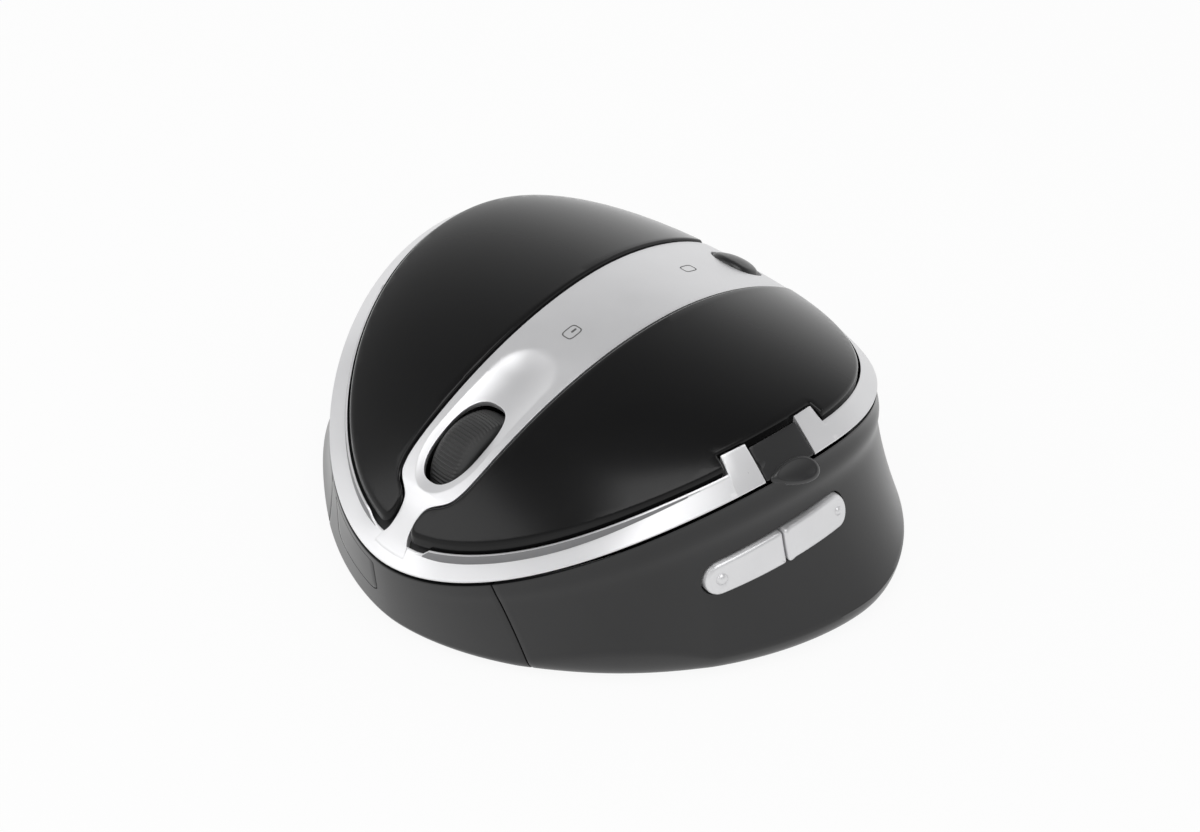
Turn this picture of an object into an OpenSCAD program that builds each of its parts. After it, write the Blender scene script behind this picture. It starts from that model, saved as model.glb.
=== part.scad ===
// Tilting ergonomic mouse: a domed top with two click shells, hinged on a flared base.
// Lengths are in millimetres. +Y is the wheel end, +Z is up, and the thumb side is -X.

/* [Outline] */
// Half width of the rim at its widest point
rim_half_width = 50; // [46:0.5:54]
// Rim length ahead of the widest point
rim_front = 64.6; // [60:0.2:70]
// Rim length behind the widest point
rim_rear = 40.1; // [37:0.1:44]
// Fullness of the rim outline in front
rim_front_power = 1.875; // [1.75:0.005:2.2]
// Fullness of the rim outline behind
rim_rear_power = 2.274; // [2:0.002:2.6]
// Height of the rim at its widest point
rim_height = 36.5; // [33:0.5:40]
// Lengthwise slope of the rim
rim_slope = 0.036; // [0:0.002:0.08]
// Arch of the rim seen from the side
rim_arch = 0.00512; // [0.004:0.00002:0.006]
// Rise of the crown above the rim
crown_rise = 8.4; // [7.5:0.1:10]
// Flatness of the crown's middle
crown_power = 1.479; // [1.3:0.001:2]
// Roundness of the crown's shoulder
crown_round = 2.933; // [2.5:0.001:3.2]

/* [Foot] */
// Half width of the base at the foot
foot_half_width = 62; // [58:0.5:66]
// Foot length ahead of its centre
foot_front = 64.8; // [62:0.2:70]
// Foot length behind its centre
foot_rear = 44.4; // [42:0.2:48]
// Fullness of the foot outline in front
foot_front_power = 1.772; // [1.7:0.002:2.2]
// Fullness of the foot outline behind
foot_rear_power = 1.903; // [1.8:0.002:2.4]
// Lengthwise shift of the foot's centre
foot_shift = -1.7; // [-4:0.1:2]
// Radius that rolls the base wall under at the foot
foot_roll = 2; // [1:0.1:3]
// Hollow of the flanks above the foot
flank_hollow = 0.8; // [0:0.05:1.2]
// Rise of the soft collar below the rim
collar_rise = 0.7; // [0:0.1:1.2]
// Height of the rounded ledge at the foot's front corners, as a share of the flank
ledge_share = 0.13; // [0:0.01:0.2]
// Wall of the base skins
base_wall = 2; // [1.6:0.1:2.6]
// Depth of the bevel inside the base's top edge
base_bevel = 4; // [3.6:0.1:5]
// Parting gap between the rim and the base
parting_gap = 0.7; // [0.5:0.05:1]
// Width of the seams between the base skins
seam_gap = 0.16; // [0.1:0.02:0.4]
// Angle of the front seam at the rim
seam_angle = 110; // [104:0.5:116]
// How far the front seam leans back at the foot
seam_lean = 6.4; // [0:0.2:10]

/* [Shells] */
// Wall of the two click shells
shell_wall = 1.6; // [1.2:0.1:2]
// Extra depth of the shells' edges
shell_skirt = 0.5; // [0:0.1:0.8]
// Gap round the click shells
shell_gap = 0.5; // [0.35:0.05:0.8]
// Width of the trim band round the shells
trim_width = 3.5; // [3:0.1:4.5]
// Drop of the trim below the shells at the sides
trim_drop_side = 0.6; // [0.4:0.1:1]
// Drop of the trim below the shells in front
trim_drop_front = 1.4; // [1:0.1:2]
// Height of the step inside the band in front
trim_step = 1.8; // [1:0.1:2]
// Width of the lip on top of that step
lip_width = 0.3; // [0.2:0.05:0.5]
// Reach of the trim's inner shelf from the rim
shelf_reach = 9.5; // [9:0.1:11]
// Height of the shelf's top above the rim line
shelf_rise = 0.2; // [0:0.1:0.6]
// Height of the shelf's underside below the rim line
shelf_sink = 1; // [0.8:0.1:1.2]

/* [Spine] */
// Half width of the spine at the middle of the top
spine_half = 9.5; // [8.5:0.1:11]
// Narrowing of the spine towards the front
spine_taper = 0.039; // [0.02:0.001:0.06]
// Half width of the neck in front of the wheel
neck_half = 2.6; // [2:0.1:4]
// Where the wheel surround starts to round off
surround_start = 46; // [44:0.5:48]
// Where the neck starts
neck_start = 56; // [55:0.2:57]
// Gap between the spine's ends and the trim
end_gap = 0.12; // [0.08:0.02:0.3]
// Wall of the spine
spine_wall = 1.6; // [1.2:0.1:2]
// Drop of the spine below the shells
spine_drop = 0.5; // [0.2:0.05:0.8]
// Depth of the finger groove round the wheel
groove_depth = 1.3; // [0.6:0.1:1.6]
// Half width of the finger groove
groove_half = 6.4; // [5.6:0.1:7]

/* [Hinge] */
// Tilt axis, in from the widest point of the rim
leaf_inset = 4.4; // [4:0.1:5]
// Tilt axis, up from the rim at its widest point
leaf_rise = 0.4; // [0.3:0.05:0.6]
// Radius of the tilt hinge's pin
leaf_pin = 0.8; // [0.7:0.05:0.9]
// Wall round the pin in the leaf's knuckle and in the trim's lugs
leaf_wall = 0.45; // [0.4:0.05:0.5]
// Half length of the leaf's knuckle
leaf_half = 3.7; // [3:0.1:4.5]
// Thickness of the leaf's post
leaf_post = 1.6; // [1.4:0.1:1.8]
// Length of each lug beside the knuckle
lug_length = 5; // [4:0.1:6]
// Running clearance of a pin or axle in its bore
running_gap = 0.05; // [0.02:0.01:0.09]

/* [Catch] */
// Catch pin, in from the widest point of the rim
catch_inset = 5.2; // [5:0.1:5.6]
// Catch pin, up from the rim at its widest point
catch_rise = 0.3; // [0:0.1:0.6]
// Radius of the catch pin
pin_radius = 1; // [0.8:0.05:1.1]
// Length of the catch pin inside each ear
pin_hold = 2.2; // [1.8:0.1:2.6]
// Wall of the ears under the catch pin
ear_wall = 0.5; // [0.4:0.1:0.5]
// Reach of the ears from the rim
ear_reach = 6.4; // [6:0.1:7]
// Rear end of the rear ear
ear_rear = -1.6; // [-3:0.1:-1]
// Rear side of the catch opening
catch_rear = 3.6; // [3:0.1:5]
// Front side of the catch opening
catch_front = 15.2; // [14:0.1:16]
// Front end of the front ear
ear_front = 21.4; // [20:0.1:23]
// Side clearance of the catch between the ears
catch_gap = 0.3; // [0.2:0.05:0.5]
// Reach of the catch's plate from the rim
catch_reach = 5.7; // [5.4:0.1:6]
// Radius of the catch's knuckle
knuckle_radius = 1.85; // [1.7:0.05:2]
// Half length of the thumb nub
nub_half = 5; // [4:0.1:5.4]
// Half width of the thumb nub
nub_wide = 3.2; // [2.8:0.1:3.6]
// Half thickness of the thumb nub
nub_thick = 1.5; // [1.2:0.1:1.8]
// Gap between the thumb nub and the flank
nub_gap = 0.25; // [0.2:0.05:0.5]

/* [Wheel] */
// Radius of the scroll wheel
wheel_radius = 9.8; // [9.4:0.1:10]
// Width of the scroll wheel
wheel_width = 8.2; // [7.6:0.1:8.4]
// How far the wheel stands out of the spine
wheel_proud = 2.4; // [2:0.1:2.8]
// Lengthwise place of the wheel
wheel_y = 43.4; // [43:0.1:44]
// Half length of the wheel slot seen from above
slot_half_length = 8.6; // [8.4:0.1:9.4]
// Half width of the wheel slot
slot_half_width = 4.9; // [4.7:0.1:5.2]
// Radius of the wheel's axle
axle_radius = 1.5; // [1.2:0.1:1.8]
// Number of grip ribs on the tyre
rib_count = 72; // [40:1:80]

/* [Keys] */
// How far the side keys stand out of the flank
key_proud = 1.1; // [0.8:0.1:1.4]
// Depth of the side keys behind the flank's face
key_depth = 2.6; // [2.4:0.1:3.4]
// Gap round the side keys
key_gap = 0.4; // [0.3:0.05:0.6]
// Half height of the side keys as a share of the flank
key_half = 0.088; // [0.07:0.002:0.1]
// Radius of the raised dot on the front thumb key
dot_radius = 1.1; // [0.8:0.05:1.3]
// Place of the rear key on the spine
rear_key_y = -31; // [-31.5:0.1:-30.5]
// Half width of the rear key
rear_key_half_width = 5.4; // [5:0.1:5.8]
// Half length of the rear key
rear_key_half_length = 4.8; // [4.4:0.1:5]
// How far the rear key stands out
rear_key_proud = 1.6; // [1:0.1:2.2]

/* [Inside] */
// Wall of the upper tray
tray_wall = 1.6; // [1.2:0.1:2]
// Gap between the tray and the trim's shelf
tray_gap = 0.25; // [0.2:0.05:0.4]
// Reach of the tray's edge from the rim
tray_reach = 6.5; // [6:0.1:8]
// Wall of the base deck
deck_wall = 1.8; // [1.4:0.1:2.2]
// Depth of the deck's top below the rim line
deck_depth = 4.2; // [4:0.1:5]
// Gap between the deck's edge and the rim outline
deck_reach = 3.1; // [2.9:0.1:3.6]
// Height of the glide feet
glide_height = 0.8; // [0.5:0.1:1.2]
// Wall of the bottom plate
plate_wall = 2; // [1.6:0.1:2.4]
// Fit gap between fixed pieces
fit_gap = 0.15; // [0.1:0.01:0.3]
// Radius of the battery cells
cell_radius = 5.2; // [5:0.05:5.3]
// Length of the battery cells
cell_length = 44; // [43:0.5:45]
// Lengthwise place of the battery bay
bay_y = -20; // [-21:0.5:-19]
// Clearance round the battery hatch
hatch_gap = 0.3; // [0.2:0.05:0.5]
// Travel of the power slider
slider_travel = 3.6; // [2.5:0.1:4.5]

/* [Hidden] */

// Lengthwise middle of the whole object, which becomes the origin
middle_y = (max(rim_front, foot_shift + foot_front) + foot_shift - foot_rear) / 2;
leaf_x = rim_half_width - leaf_inset;
leaf_z = rim_height + leaf_rise;
leaf_radius = leaf_pin + leaf_wall;
// The tilt hinge is at the highest point of the rim line
leaf_y = rim_slope / (2 * rim_arch);
catch_x = rim_half_width - catch_inset;
catch_z = rim_height + catch_rise;
plate_bottom = glide_height;
plate_top = glide_height + plate_wall;
wheel_tilt = atan2(dome_z(0, wheel_y - 3) - dome_z(0, wheel_y + 3), 6);
wheel_sink = wheel_radius - wheel_proud;
axle_y = wheel_y - sin(wheel_tilt) * wheel_sink;
axle_z = dome_z(0, wheel_y) - spine_drop - groove_depth - cos(wheel_tilt) * wheel_sink;
rear_key_tilt = atan2(dome_z(0, rear_key_y + 3) - dome_z(0, rear_key_y - 3), 6);

black = [0.07, 0.07, 0.075];
grey = [0.25, 0.25, 0.26];
silver = [0.78, 0.78, 0.8];
steel = [0.6, 0.61, 0.63];
rubber = [0.1, 0.1, 0.1];
green = [0.1, 0.32, 0.2];

// Plan radius of a super-ellipse with a different half length in front and behind.
function outline_radius(a, w, front, front_power, rear, rear_power) =
    let (ahead = sin(a) > 0)
    let (l = ahead ? front : rear)
    let (n = ahead ? front_power : rear_power)
    pow(pow(abs(cos(a)) / w, n) + pow(abs(sin(a)) / l, n), -1 / n);

function rim_radius(a) =
    outline_radius(a, rim_half_width, rim_front, rim_front_power, rim_rear, rim_rear_power);

function foot_radius(a) =
    outline_radius(a, foot_half_width, foot_front, foot_front_power, foot_rear, foot_rear_power);

function rim_z(y) = rim_height + rim_slope * y - rim_arch * y * y;

function rim_point(a) = rim_radius(a) * [cos(a), sin(a)];

// Unit direction that points out of the rim outline, square to it.
function rim_normal(a) =
    let (p = rim_point(a))
    let (l = p.y > 0 ? rim_front : rim_rear)
    let (n = p.y > 0 ? rim_front_power : rim_rear_power)
    let (g = [sign(p.x) * pow(abs(p.x), n - 1) / pow(rim_half_width, n),
              sign(p.y) * pow(abs(p.y), n - 1) / pow(l, n)])
    g / norm(g);

function inset_point(a, d) = rim_point(a) - d * rim_normal(a);

// Half width of the rim outline, moved in by d, at a given y.
function half_width(y, d) =
    let (l = (y > 0 ? rim_front : rim_rear) - d)
    let (n = y > 0 ? rim_front_power : rim_rear_power)
    (rim_half_width - d) * pow(max(0.0001, 1 - pow(min(1, abs(y) / l), n)), 1 / n);

// Where the trim's inner edge crosses a given x, in front or behind.
function end_y(x, ahead) =
    let (d = trim_width + end_gap)
    let (l = (ahead ? rim_front : rim_rear) - d)
    let (n = ahead ? rim_front_power : rim_rear_power)
    (ahead ? l : -l) * pow(1 - pow(abs(x) / (rim_half_width - d), n), 1 / n);

// Angle of the rim point at a given y on the left side.
function rim_angle(y) = atan2(y, -half_width(y, 0)) + (y < 0 ? 360 : 0);

function crown(rho) = crown_rise * pow(max(0, 1 - pow(rho, crown_power)), 1 / crown_round);

function dome_z(x, y) =
    rim_z(y) + crown(min(1, norm([x, y]) / rim_radius(atan2(y, x))));

function ease(t) = let (c = min(1, max(0, t))) c * c * (3 - 2 * c);

function trim_drop(y) =
    trim_drop_side + (trim_drop_front - trim_drop_side) * ease((y - 18) / 34);

// Top of the trim's inner lip.
function trim_z(p) =
    max(rim_z(p.y) + 0.4, dome_z(p.x, p.y) - trim_drop(p.y));

// Top of the trim's band, which in front lies a step below the lip, but not at the neck.
function band_z(p) =
    let (step = trim_step * ease((p.y - 20) / 30) * ease((abs(p.x) - 3) / 4))
    max(rim_z(p.y) + 0.4, dome_z(p.x, p.y) - trim_drop(p.y) - step);

// Half width of the spine: straight, then round the wheel, then the neck.
function spine_edge(y) =
    let (start = spine_half - spine_taper * surround_start)
    y < surround_start ? spine_half - spine_taper * y
    : y < neck_start
    ? neck_half + (start - neck_half)
        * sqrt(max(0, 1 - pow((y - surround_start) / (neck_start - surround_start), 2)))
    : neck_half + max(0, y - neck_start - 2) * 0.24;

// The spine's half width plus a gap, measured square to its edge.
function spine_clear(y, gap) =
    max([for (t = [-80 : 20 : 80]) spine_edge(y + gap * sin(t)) + gap * cos(t)]);

// Rows that follow the rounded end of the wheel surround.
surround_rows = [for (t = [90 : -10 : 0]) surround_start + (neck_start - surround_start) * sin(t)];

function groove(x, y) =
    let (e = y > 45 ? (y - 45) / 9 : y < 29 ? (29 - y) / 7 : 0)
    -groove_depth * max(0, 1 - pow(x / groove_half, 2) - e * e);

// A point of the base's outer wall: a is the angle round it, v runs from the rim to the foot.
function wall_point(a, v, grow) =
    let (top = rim_point(a))
    let (foot = [0, foot_shift] + foot_radius(a) * [cos(a), sin(a)])
    let (hollow = 1 + flank_hollow * pow(cos(a), 2))
    let (ledge = 0.88 - ledge_share * max(0, 1 - pow((a - 131) / 17, 2)))
    let (p = top + (foot - top) * pow(min(v, ledge) / ledge, hollow))
    let (t = max(0, (v - ledge) / (1 - ledge)))
    let (collar = collar_rise * pow(cos(a), 2) * exp(-pow((v - 0.13) / 0.075, 2)))
    let (shift = grow + collar - foot_roll * (1 - sqrt(max(0, 1 - t * t))))
    let (q = p * (1 + shift / norm(p)))
    [q.x, q.y, (rim_z(top.y) - parting_gap) * (1 - v) + plate_bottom * v];

// Faces of a closed sheet: nu rows of nv outer points, then as many inner points.
function sheet_faces(nu, nv) =
    let (n = nu * nv)
    [for (i = [0 : nu - 2], j = [0 : nv - 2])
        let (a = i * nv + j)
        each [[a, a + 1, a + nv + 1], [a, a + nv + 1, a + nv],
              [n + a, n + a + nv + 1, n + a + 1], [n + a, n + a + nv, n + a + nv + 1]],
     for (i = [0 : nu - 2])
        let (a = i * nv)
        let (b = a + nv - 1)
        each [[a, a + nv, n + a + nv], [a, n + a + nv, n + a],
              [b + nv, b, n + b], [b + nv, n + b, n + b + nv]],
     for (j = [0 : nv - 2])
        let (a = (nu - 1) * nv + j)
        each [[j + 1, j, n + j], [j + 1, n + j, n + j + 1],
              [a, a + 1, n + a + 1], [a, n + a + 1, n + a]]];

// Faces of a ring: nu stations round it, each with the same closed section of nv points.
function ring_faces(nu, nv) =
    [for (i = [0 : nu - 1], j = [0 : nv - 1])
        let (k = (i + 1) % nu)
        let (m = (j + 1) % nv)
        each [[i * nv + j, i * nv + m, k * nv + m], [i * nv + j, k * nv + m, k * nv + j]]];

function flip(faces) = [for (f = faces) [f[0], f[2], f[1]]];

function ellipse_points(rx, ry, n, power) =
    [for (i = [0 : n - 1])
        let (a = 360 * i / n)
        [rx * sign(cos(a)) * pow(abs(cos(a)), 2 / power),
         ry * sign(sin(a)) * pow(abs(sin(a)), 2 / power)]];

module placed() {
    translate([0, -middle_y, 0])
    children();
}

// Base skins

module wall_sheet(from, lean_from, to, lean_to, columns) {
    rows = [0, 0.04, 0.09, 0.14, 0.2, 0.28, 0.4, 0.55, 0.68, 0.78, 0.86, 0.92, 0.97, 1];
    bevel = [for (v = rows) base_bevel * pow(1 - v, 3)];
    outer = [for (i = [0 : columns], v = rows)
        let (a0 = from + lean_from * v)
        let (a1 = to + lean_to * v)
        wall_point(a0 + (a1 - a0) * i / columns, v, 0)];
    inner = [for (i = [0 : columns], j = [0 : len(rows) - 1])
        let (v = rows[j])
        let (a0 = from + lean_from * v)
        let (a1 = to + lean_to * v)
        let (a = a0 + (a1 - a0) * i / columns)
        let (p = wall_point(a, v, -base_wall))
        [p.x, p.y, p.z - bevel[j] * pow(cos(a), 2)]];
    polyhedron(concat(outer, inner), flip(sheet_faces(columns + 1, len(rows))), convexity = 8);
}

module base_front() {
    placed()
    color(grey)
    difference() {
        wall_sheet(180 - seam_angle, -seam_lean, seam_angle, seam_lean, 16);
        flap_block(key_gap * 0.4, 6);
    }
}

// The flap's outline on the front wall, grown by a gap, as a block through the wall.
module flap_block(gap, reach) {
    n = 9;
    spread = 7.4;
    middle = 80;
    grid = [for (side = [1, -1], i = [0 : n], j = [0 : 4])
        let (u = i / n)
        let (a = middle - spread - gap + (2 * spread + 2 * gap) * u)
        let (round_off = pow(abs(2 * u - 1), 6))
        let (low = 0.6 + gap / 14 - 0.16 * round_off)
        let (v = 0.1 - gap / 14 + (low - 0.1 + gap / 14) * j / 4)
        wall_point(a, v, side > 0 ? (reach > 1 ? reach : 0) : (reach > 1 ? -reach : -base_wall + 0.2))];
    polyhedron(grid, flip(sheet_faces(n + 1, 5)), convexity = 4);
}

module front_flap() {
    placed()
    color(grey)
    flap_block(0, 0);
}

module base_side() {
    wall_sheet(seam_angle + seam_gap, seam_lean, 270 - seam_gap, 0, 26);
}

module base_left() {
    placed()
    color(grey)
    difference() {
        base_side();
        thumb_key(0, key_gap, 6, 6);
        thumb_key(1, key_gap, 6, 6);
    }
}

module base_right() {
    placed()
    color(grey)
    mirror([1, 0, 0])
    base_side();
}

// Thumb keys on the left flank; which is 0 for the front key and 1 for the rear key.

key_out = [-cos(9), sin(9), 0];

function key_middle(a) = 0.425 - (a - 148) * 0.0017;

module thumb_key(which, gap, proud, depth) {
    from = which == 0 ? 147.4 : 165.3;
    to = which == 0 ? 164.7 : 182.2;
    steps = [0.012, 0.05, 0.11, 0.2, 0.35, 0.55, 0.75, 0.9, 1];
    turn = 0.2;
    wide = gap / 31;
    grid = [for (side = [1, -1], s = steps, w = [-1 : 0.5 : 1])
        let (u = which == 0 ? s : 1 - s)
        let (a = from - gap * 1.15 + (to - from + gap * 2.3) * u)
        let (cap = s < turn ? sqrt(1 - pow(1 - s / turn, 2)) : 1)
        let (v = key_middle(a) + w * (key_half + wide) * cap)
        wall_point(a, v, 0) + key_out * (side > 0 ? proud : -depth)];
    faces = sheet_faces(len(steps), 5);
    polyhedron(grid, which == 0 ? flip(faces) : faces, convexity = 4);
}

// The raised dot on a thumb key's face, part of a ball.
module key_dot(a, radius) {
    translate(wall_point(a, key_middle(a), 0) + key_out * (key_proud - 0.6 * radius))
    sphere(r = 1.15 * radius, $fn = 20);
}

module front_thumb_key() {
    placed()
    color(silver)
    union() {
        thumb_key(0, 0, key_proud, key_depth);
        key_dot(150.6, dot_radius);
    }
}

module rear_thumb_key() {
    placed()
    color(silver)
    union() {
        thumb_key(1, 0, key_proud, key_depth);
        key_dot(179.6, 0.75 * dot_radius);
    }
}

// Underside and inside of the base

leg_places = [[-34, 30], [34, 30], [-40, -12], [40, -12]];

module base_deck() {
    back = -rim_rear + deck_reach + 0.6;
    front = rim_front - deck_reach - 0.6;
    rows = [for (i = [0 : 16]) back + (front - back) * i / 16];
    cols = [-1, -0.8, -0.5, 0, 0.5, 0.8, 1];
    top = [for (y = rows, t = cols)
        [t * half_width(y, deck_reach), y, rim_z(y) - deck_depth]];
    bottom = [for (p = top) [p.x, p.y, p.z - deck_wall]];
    placed()
    color(grey)
    difference() {
        union() {
            polyhedron(concat(top, bottom), flip(sheet_faces(len(rows), len(cols))), convexity = 4);
            for (p = leg_places)
                translate([p.x, p.y, plate_top])
                cylinder(r = 3, h = rim_z(p.y) - deck_depth - deck_wall / 2 - plate_top);
        }
        translate([-11, axle_y - wheel_radius - 6, 0])
        cube([19, 2 * wheel_radius + 10, 60]);
        for (p = leg_places)
            translate([p.x, p.y, plate_top - 1])
            cylinder(r = 1.2 + fit_gap, h = 9);
    }
}

module plate_outline(gap) {
    polygon([for (a = [0 : 5 : 355])
        let (p = wall_point(a, 1, -base_wall - gap))
        [p.x, p.y]]);
}

bay_half = [cell_length / 2 + 2, 2 * cell_radius + 1];
cell_z = plate_top + 0.6 + cell_radius;
slider_place = [24, 16];

module bottom_plate() {
    placed()
    color(grey)
    difference() {
        union() {
            translate([0, 0, plate_bottom])
            linear_extrude(plate_wall)
            plate_outline(fit_gap);
            for (p = board_places)
                translate([p.x, p.y, plate_top - 0.5])
                cylinder(r = 2.4, h = board_z - plate_top + 0.5);
        }
        translate([-bay_half.x - hatch_gap, bay_y - bay_half.y - hatch_gap, 0])
        cube([2 * bay_half.x + 2 * hatch_gap, 2 * bay_half.y + 2 * hatch_gap, 9]);
        translate([0, sensor_y, 0])
        linear_extrude(9)
        polygon(ellipse_points(7 + fit_gap, 6 + fit_gap, 40, 4));
        translate([slider_place.x - 2.4, slider_place.y - 1.9, 0])
        cube([4.8 + slider_travel, 3.8, 9]);
        for (p = leg_places) {
            translate([p.x, p.y, 0])
            cylinder(r = 1.2 + fit_gap, h = 9);
            translate([p.x, p.y, 0])
            cylinder(r = 2.4 + fit_gap, h = plate_bottom + 1.1);
        }
    }
}

module base_screws() {
    placed()
    color(steel)
    for (p = leg_places)
        translate([p.x, p.y, plate_bottom + 0.1])
        union() {
            cylinder(r = 2.4, h = 1);
            cylinder(r = 1.2, h = 7.5);
        }
}

module glide_feet() {
    placed()
    color(rubber)
    union() {
        translate([0, 46, 0])
        linear_extrude(glide_height)
        polygon(ellipse_points(14, 5, 40, 2.6));
        for (s = [-1, 1])
            translate([s * 42, 8, 0])
            linear_extrude(glide_height)
            polygon(ellipse_points(5, 12, 40, 2.6));
        translate([0, -37.6, 0])
        linear_extrude(glide_height)
        polygon(ellipse_points(13, 2.4, 40, 2.6));
    }
}

sensor_y = 12;
board_z = plate_top + 3.2;
board_places = [[-14, 2], [14, 2], [-14, 34], [14, 34]];

module sensor_lens() {
    placed()
    color([0.8, 0.85, 0.9, 0.6])
    translate([0, sensor_y, plate_bottom + 0.3])
    difference() {
        union() {
            linear_extrude(plate_wall - 0.3)
            polygon(ellipse_points(7, 6, 40, 4));
            cylinder(r = 3, h = plate_wall + 0.2);
        }
        translate([0, 0, -1])
        cylinder(r = 1.6, h = 2.2);
    }
}

module sensor_chip() {
    placed()
    color(rubber)
    translate([-6, sensor_y - 5, plate_top + 0.7])
    cube([12, 10, board_z - plate_top - 0.7]);
}

module main_board() {
    placed()
    color(green)
    difference() {
        translate([-18, -2, board_z])
        cube([36, 42, 1.6]);
        translate([0, axle_y, axle_z])
        rotate([0, 90, 0])
        cylinder(r = wheel_radius + 1.2, h = 14, center = true);
    }
}

module battery_cradle() {
    wall = 1.4 + hatch_gap;
    placed()
    color(rubber)
    difference() {
        translate([-bay_half.x - wall, bay_y - bay_half.y - wall, plate_top])
        cube([2 * (bay_half.x + wall), 2 * (bay_half.y + wall), cell_radius * 2 + 1.6]);
        for (s = [-1, 1])
            translate([-cell_length / 2 - 0.15, bay_y + s * (cell_radius + 0.3), cell_z])
            rotate([0, 90, 0])
            cylinder(r = cell_radius + 0.12, h = cell_length + 0.3);
        translate([-cell_length / 2 - 0.15, bay_y - 2 * cell_radius - 0.42, plate_top - 1])
        cube([cell_length + 0.3, 4 * cell_radius + 0.84, cell_radius + 1.6]);
    }
}

module battery_cells() {
    placed()
    color(steel)
    for (s = [-1, 1])
        translate([-s * cell_length / 2, bay_y + s * (cell_radius + 0.3), cell_z])
        rotate([0, s * 90, 0])
        union() {
            cylinder(r = cell_radius, h = cell_length - 1);
            cylinder(r = 1.9, h = cell_length);
        }
}

module battery_hatch() {
    placed()
    color(grey)
    difference() {
        translate([-bay_half.x, bay_y - bay_half.y, plate_bottom])
        cube([2 * bay_half.x, 2 * bay_half.y, plate_wall]);
        for (i = [0 : 3])
            translate([-8, bay_y + bay_half.y - 4 - i * 2.2, plate_bottom - 1])
            cube([16, 1.1, 1.5]);
    }
}

module power_slider() {
    placed()
    color(rubber)
    translate([slider_place.x, slider_place.y, 0])
    union() {
        translate([-2.1, -1.6, plate_bottom + 0.3])
        cube([4.2, 3.2, plate_wall + 0.6]);
        translate([-3.6, -2.8, plate_top + 0.3])
        cube([7.2, 5.6, 1.2]);
    }
}

// Tilt hinge and catch

module along_y(from, to) {
    translate([0, to, 0])
    rotate([90, 0, 0])
    linear_extrude(to - from)
    children();
}

module rod(x, z, radius, from, to) {
    along_y(from, to)
    translate([x, z])
    circle(r = radius, $fn = 40);
}

// Plate of the catch, which carries on the ears' face across their opening.
module catch_plate() {
    depths = [catch_reach, 4.4, 3.5, 2.6, 1.7, 0.9, 0.3, 0];
    rows = [for (i = [0 : 6]) catch_rear + catch_gap + (catch_front - catch_rear - 2 * catch_gap) * i / 6];
    top = [for (y = rows, d = depths)
        let (p = [-half_width(y, 0) + d, y])
        [p.x, y, trim_z(p)]];
    bottom = [for (y = rows, d = depths)
        [-half_width(y, 0) + min(catch_reach, d + 0.1), y, rim_z(y) + (d > 4 ? 1.2 : 0.25)]];
    polyhedron(concat(top, bottom), sheet_faces(len(rows), len(depths)), convexity = 4);
}

// Dished oval nub at the lower edge of the plate.
module catch_nub() {
    middle = (catch_front + catch_rear) / 2 - 0.7;
    rim = rim_z(middle);
    difference() {
        translate([-half_width(middle, 0) - 0.5, middle, rim + 0.1])
        rotate([0, -38, 0])
        difference() {
            scale([nub_wide, nub_half, nub_thick])
            sphere(r = 1, $fn = 40);
            translate([0, 0, 9.6])
            scale([1, 1.6, 1])
            sphere(r = 9, $fn = 60);
        }
        translate([-rim_half_width - nub_gap, middle - 20, rim - 20.25])
        cube([20, 40, 20]);
    }
}

module thumb_catch() {
    placed()
    color(grey)
    difference() {
        union() {
            catch_plate();
            catch_nub();
            rod(-catch_x, catch_z, knuckle_radius, catch_rear + catch_gap, catch_front - catch_gap);
        }
        rod(-catch_x, catch_z, pin_radius + running_gap, catch_rear - 1, catch_front + 1);
    }
}

// Leaf of the tilt hinge: a knuckle on a post that stands on the base's deck.
module hinge_leaf() {
    floor = rim_z(leaf_y) - deck_depth + 0.1;
    from = leaf_y - leaf_half;
    to = leaf_y + leaf_half;
    placed()
    color(steel)
    difference() {
        union() {
            rod(leaf_x, leaf_z, leaf_radius, from, to);
            translate([leaf_x - leaf_post / 2, from + 0.2, floor])
            cube([leaf_post, 2 * leaf_half - 0.4, leaf_z - leaf_pin - 0.1 - floor]);
            translate([leaf_x - leaf_post / 2 - 2.6, from + 0.4, floor])
            cube([leaf_post + 2.9, 2 * leaf_half - 0.8, 0.9]);
        }
        rod(leaf_x, leaf_z, leaf_pin + running_gap, from - 1, to + 1);
    }
}

module hinge_pins() {
    reach = leaf_half + lug_length - 0.6;
    placed()
    color(steel)
    union() {
        rod(-catch_x, catch_z, pin_radius, catch_rear - pin_hold, catch_front + pin_hold);
        rod(leaf_x, leaf_z, leaf_pin, leaf_y - reach, leaf_y + reach);
    }
}

// Trim ring with its shelf and ears

ear_marks = [for (y = [ear_front, ear_rear]) rim_angle(y)];

function ring_stations() =
    concat([for (a = [92 : 6 : 146]) a],
           [ear_marks[0] - 0.05, ear_marks[0] + 0.05],
           [for (i = [1 : 3]) ear_marks[0] + (ear_marks[1] - ear_marks[0]) * i / 4],
           [ear_marks[1] - 0.05, ear_marks[1] + 0.05],
           [for (a = [188 : 6 : 268]) a]);

function all_stations() =
    let (left = ring_stations())
    concat(left, [for (i = [len(left) - 1 : -1 : 0]) 540 - left[i]]);

function in_ear(a) = a > ear_marks[0] && a < ear_marks[1];

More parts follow.
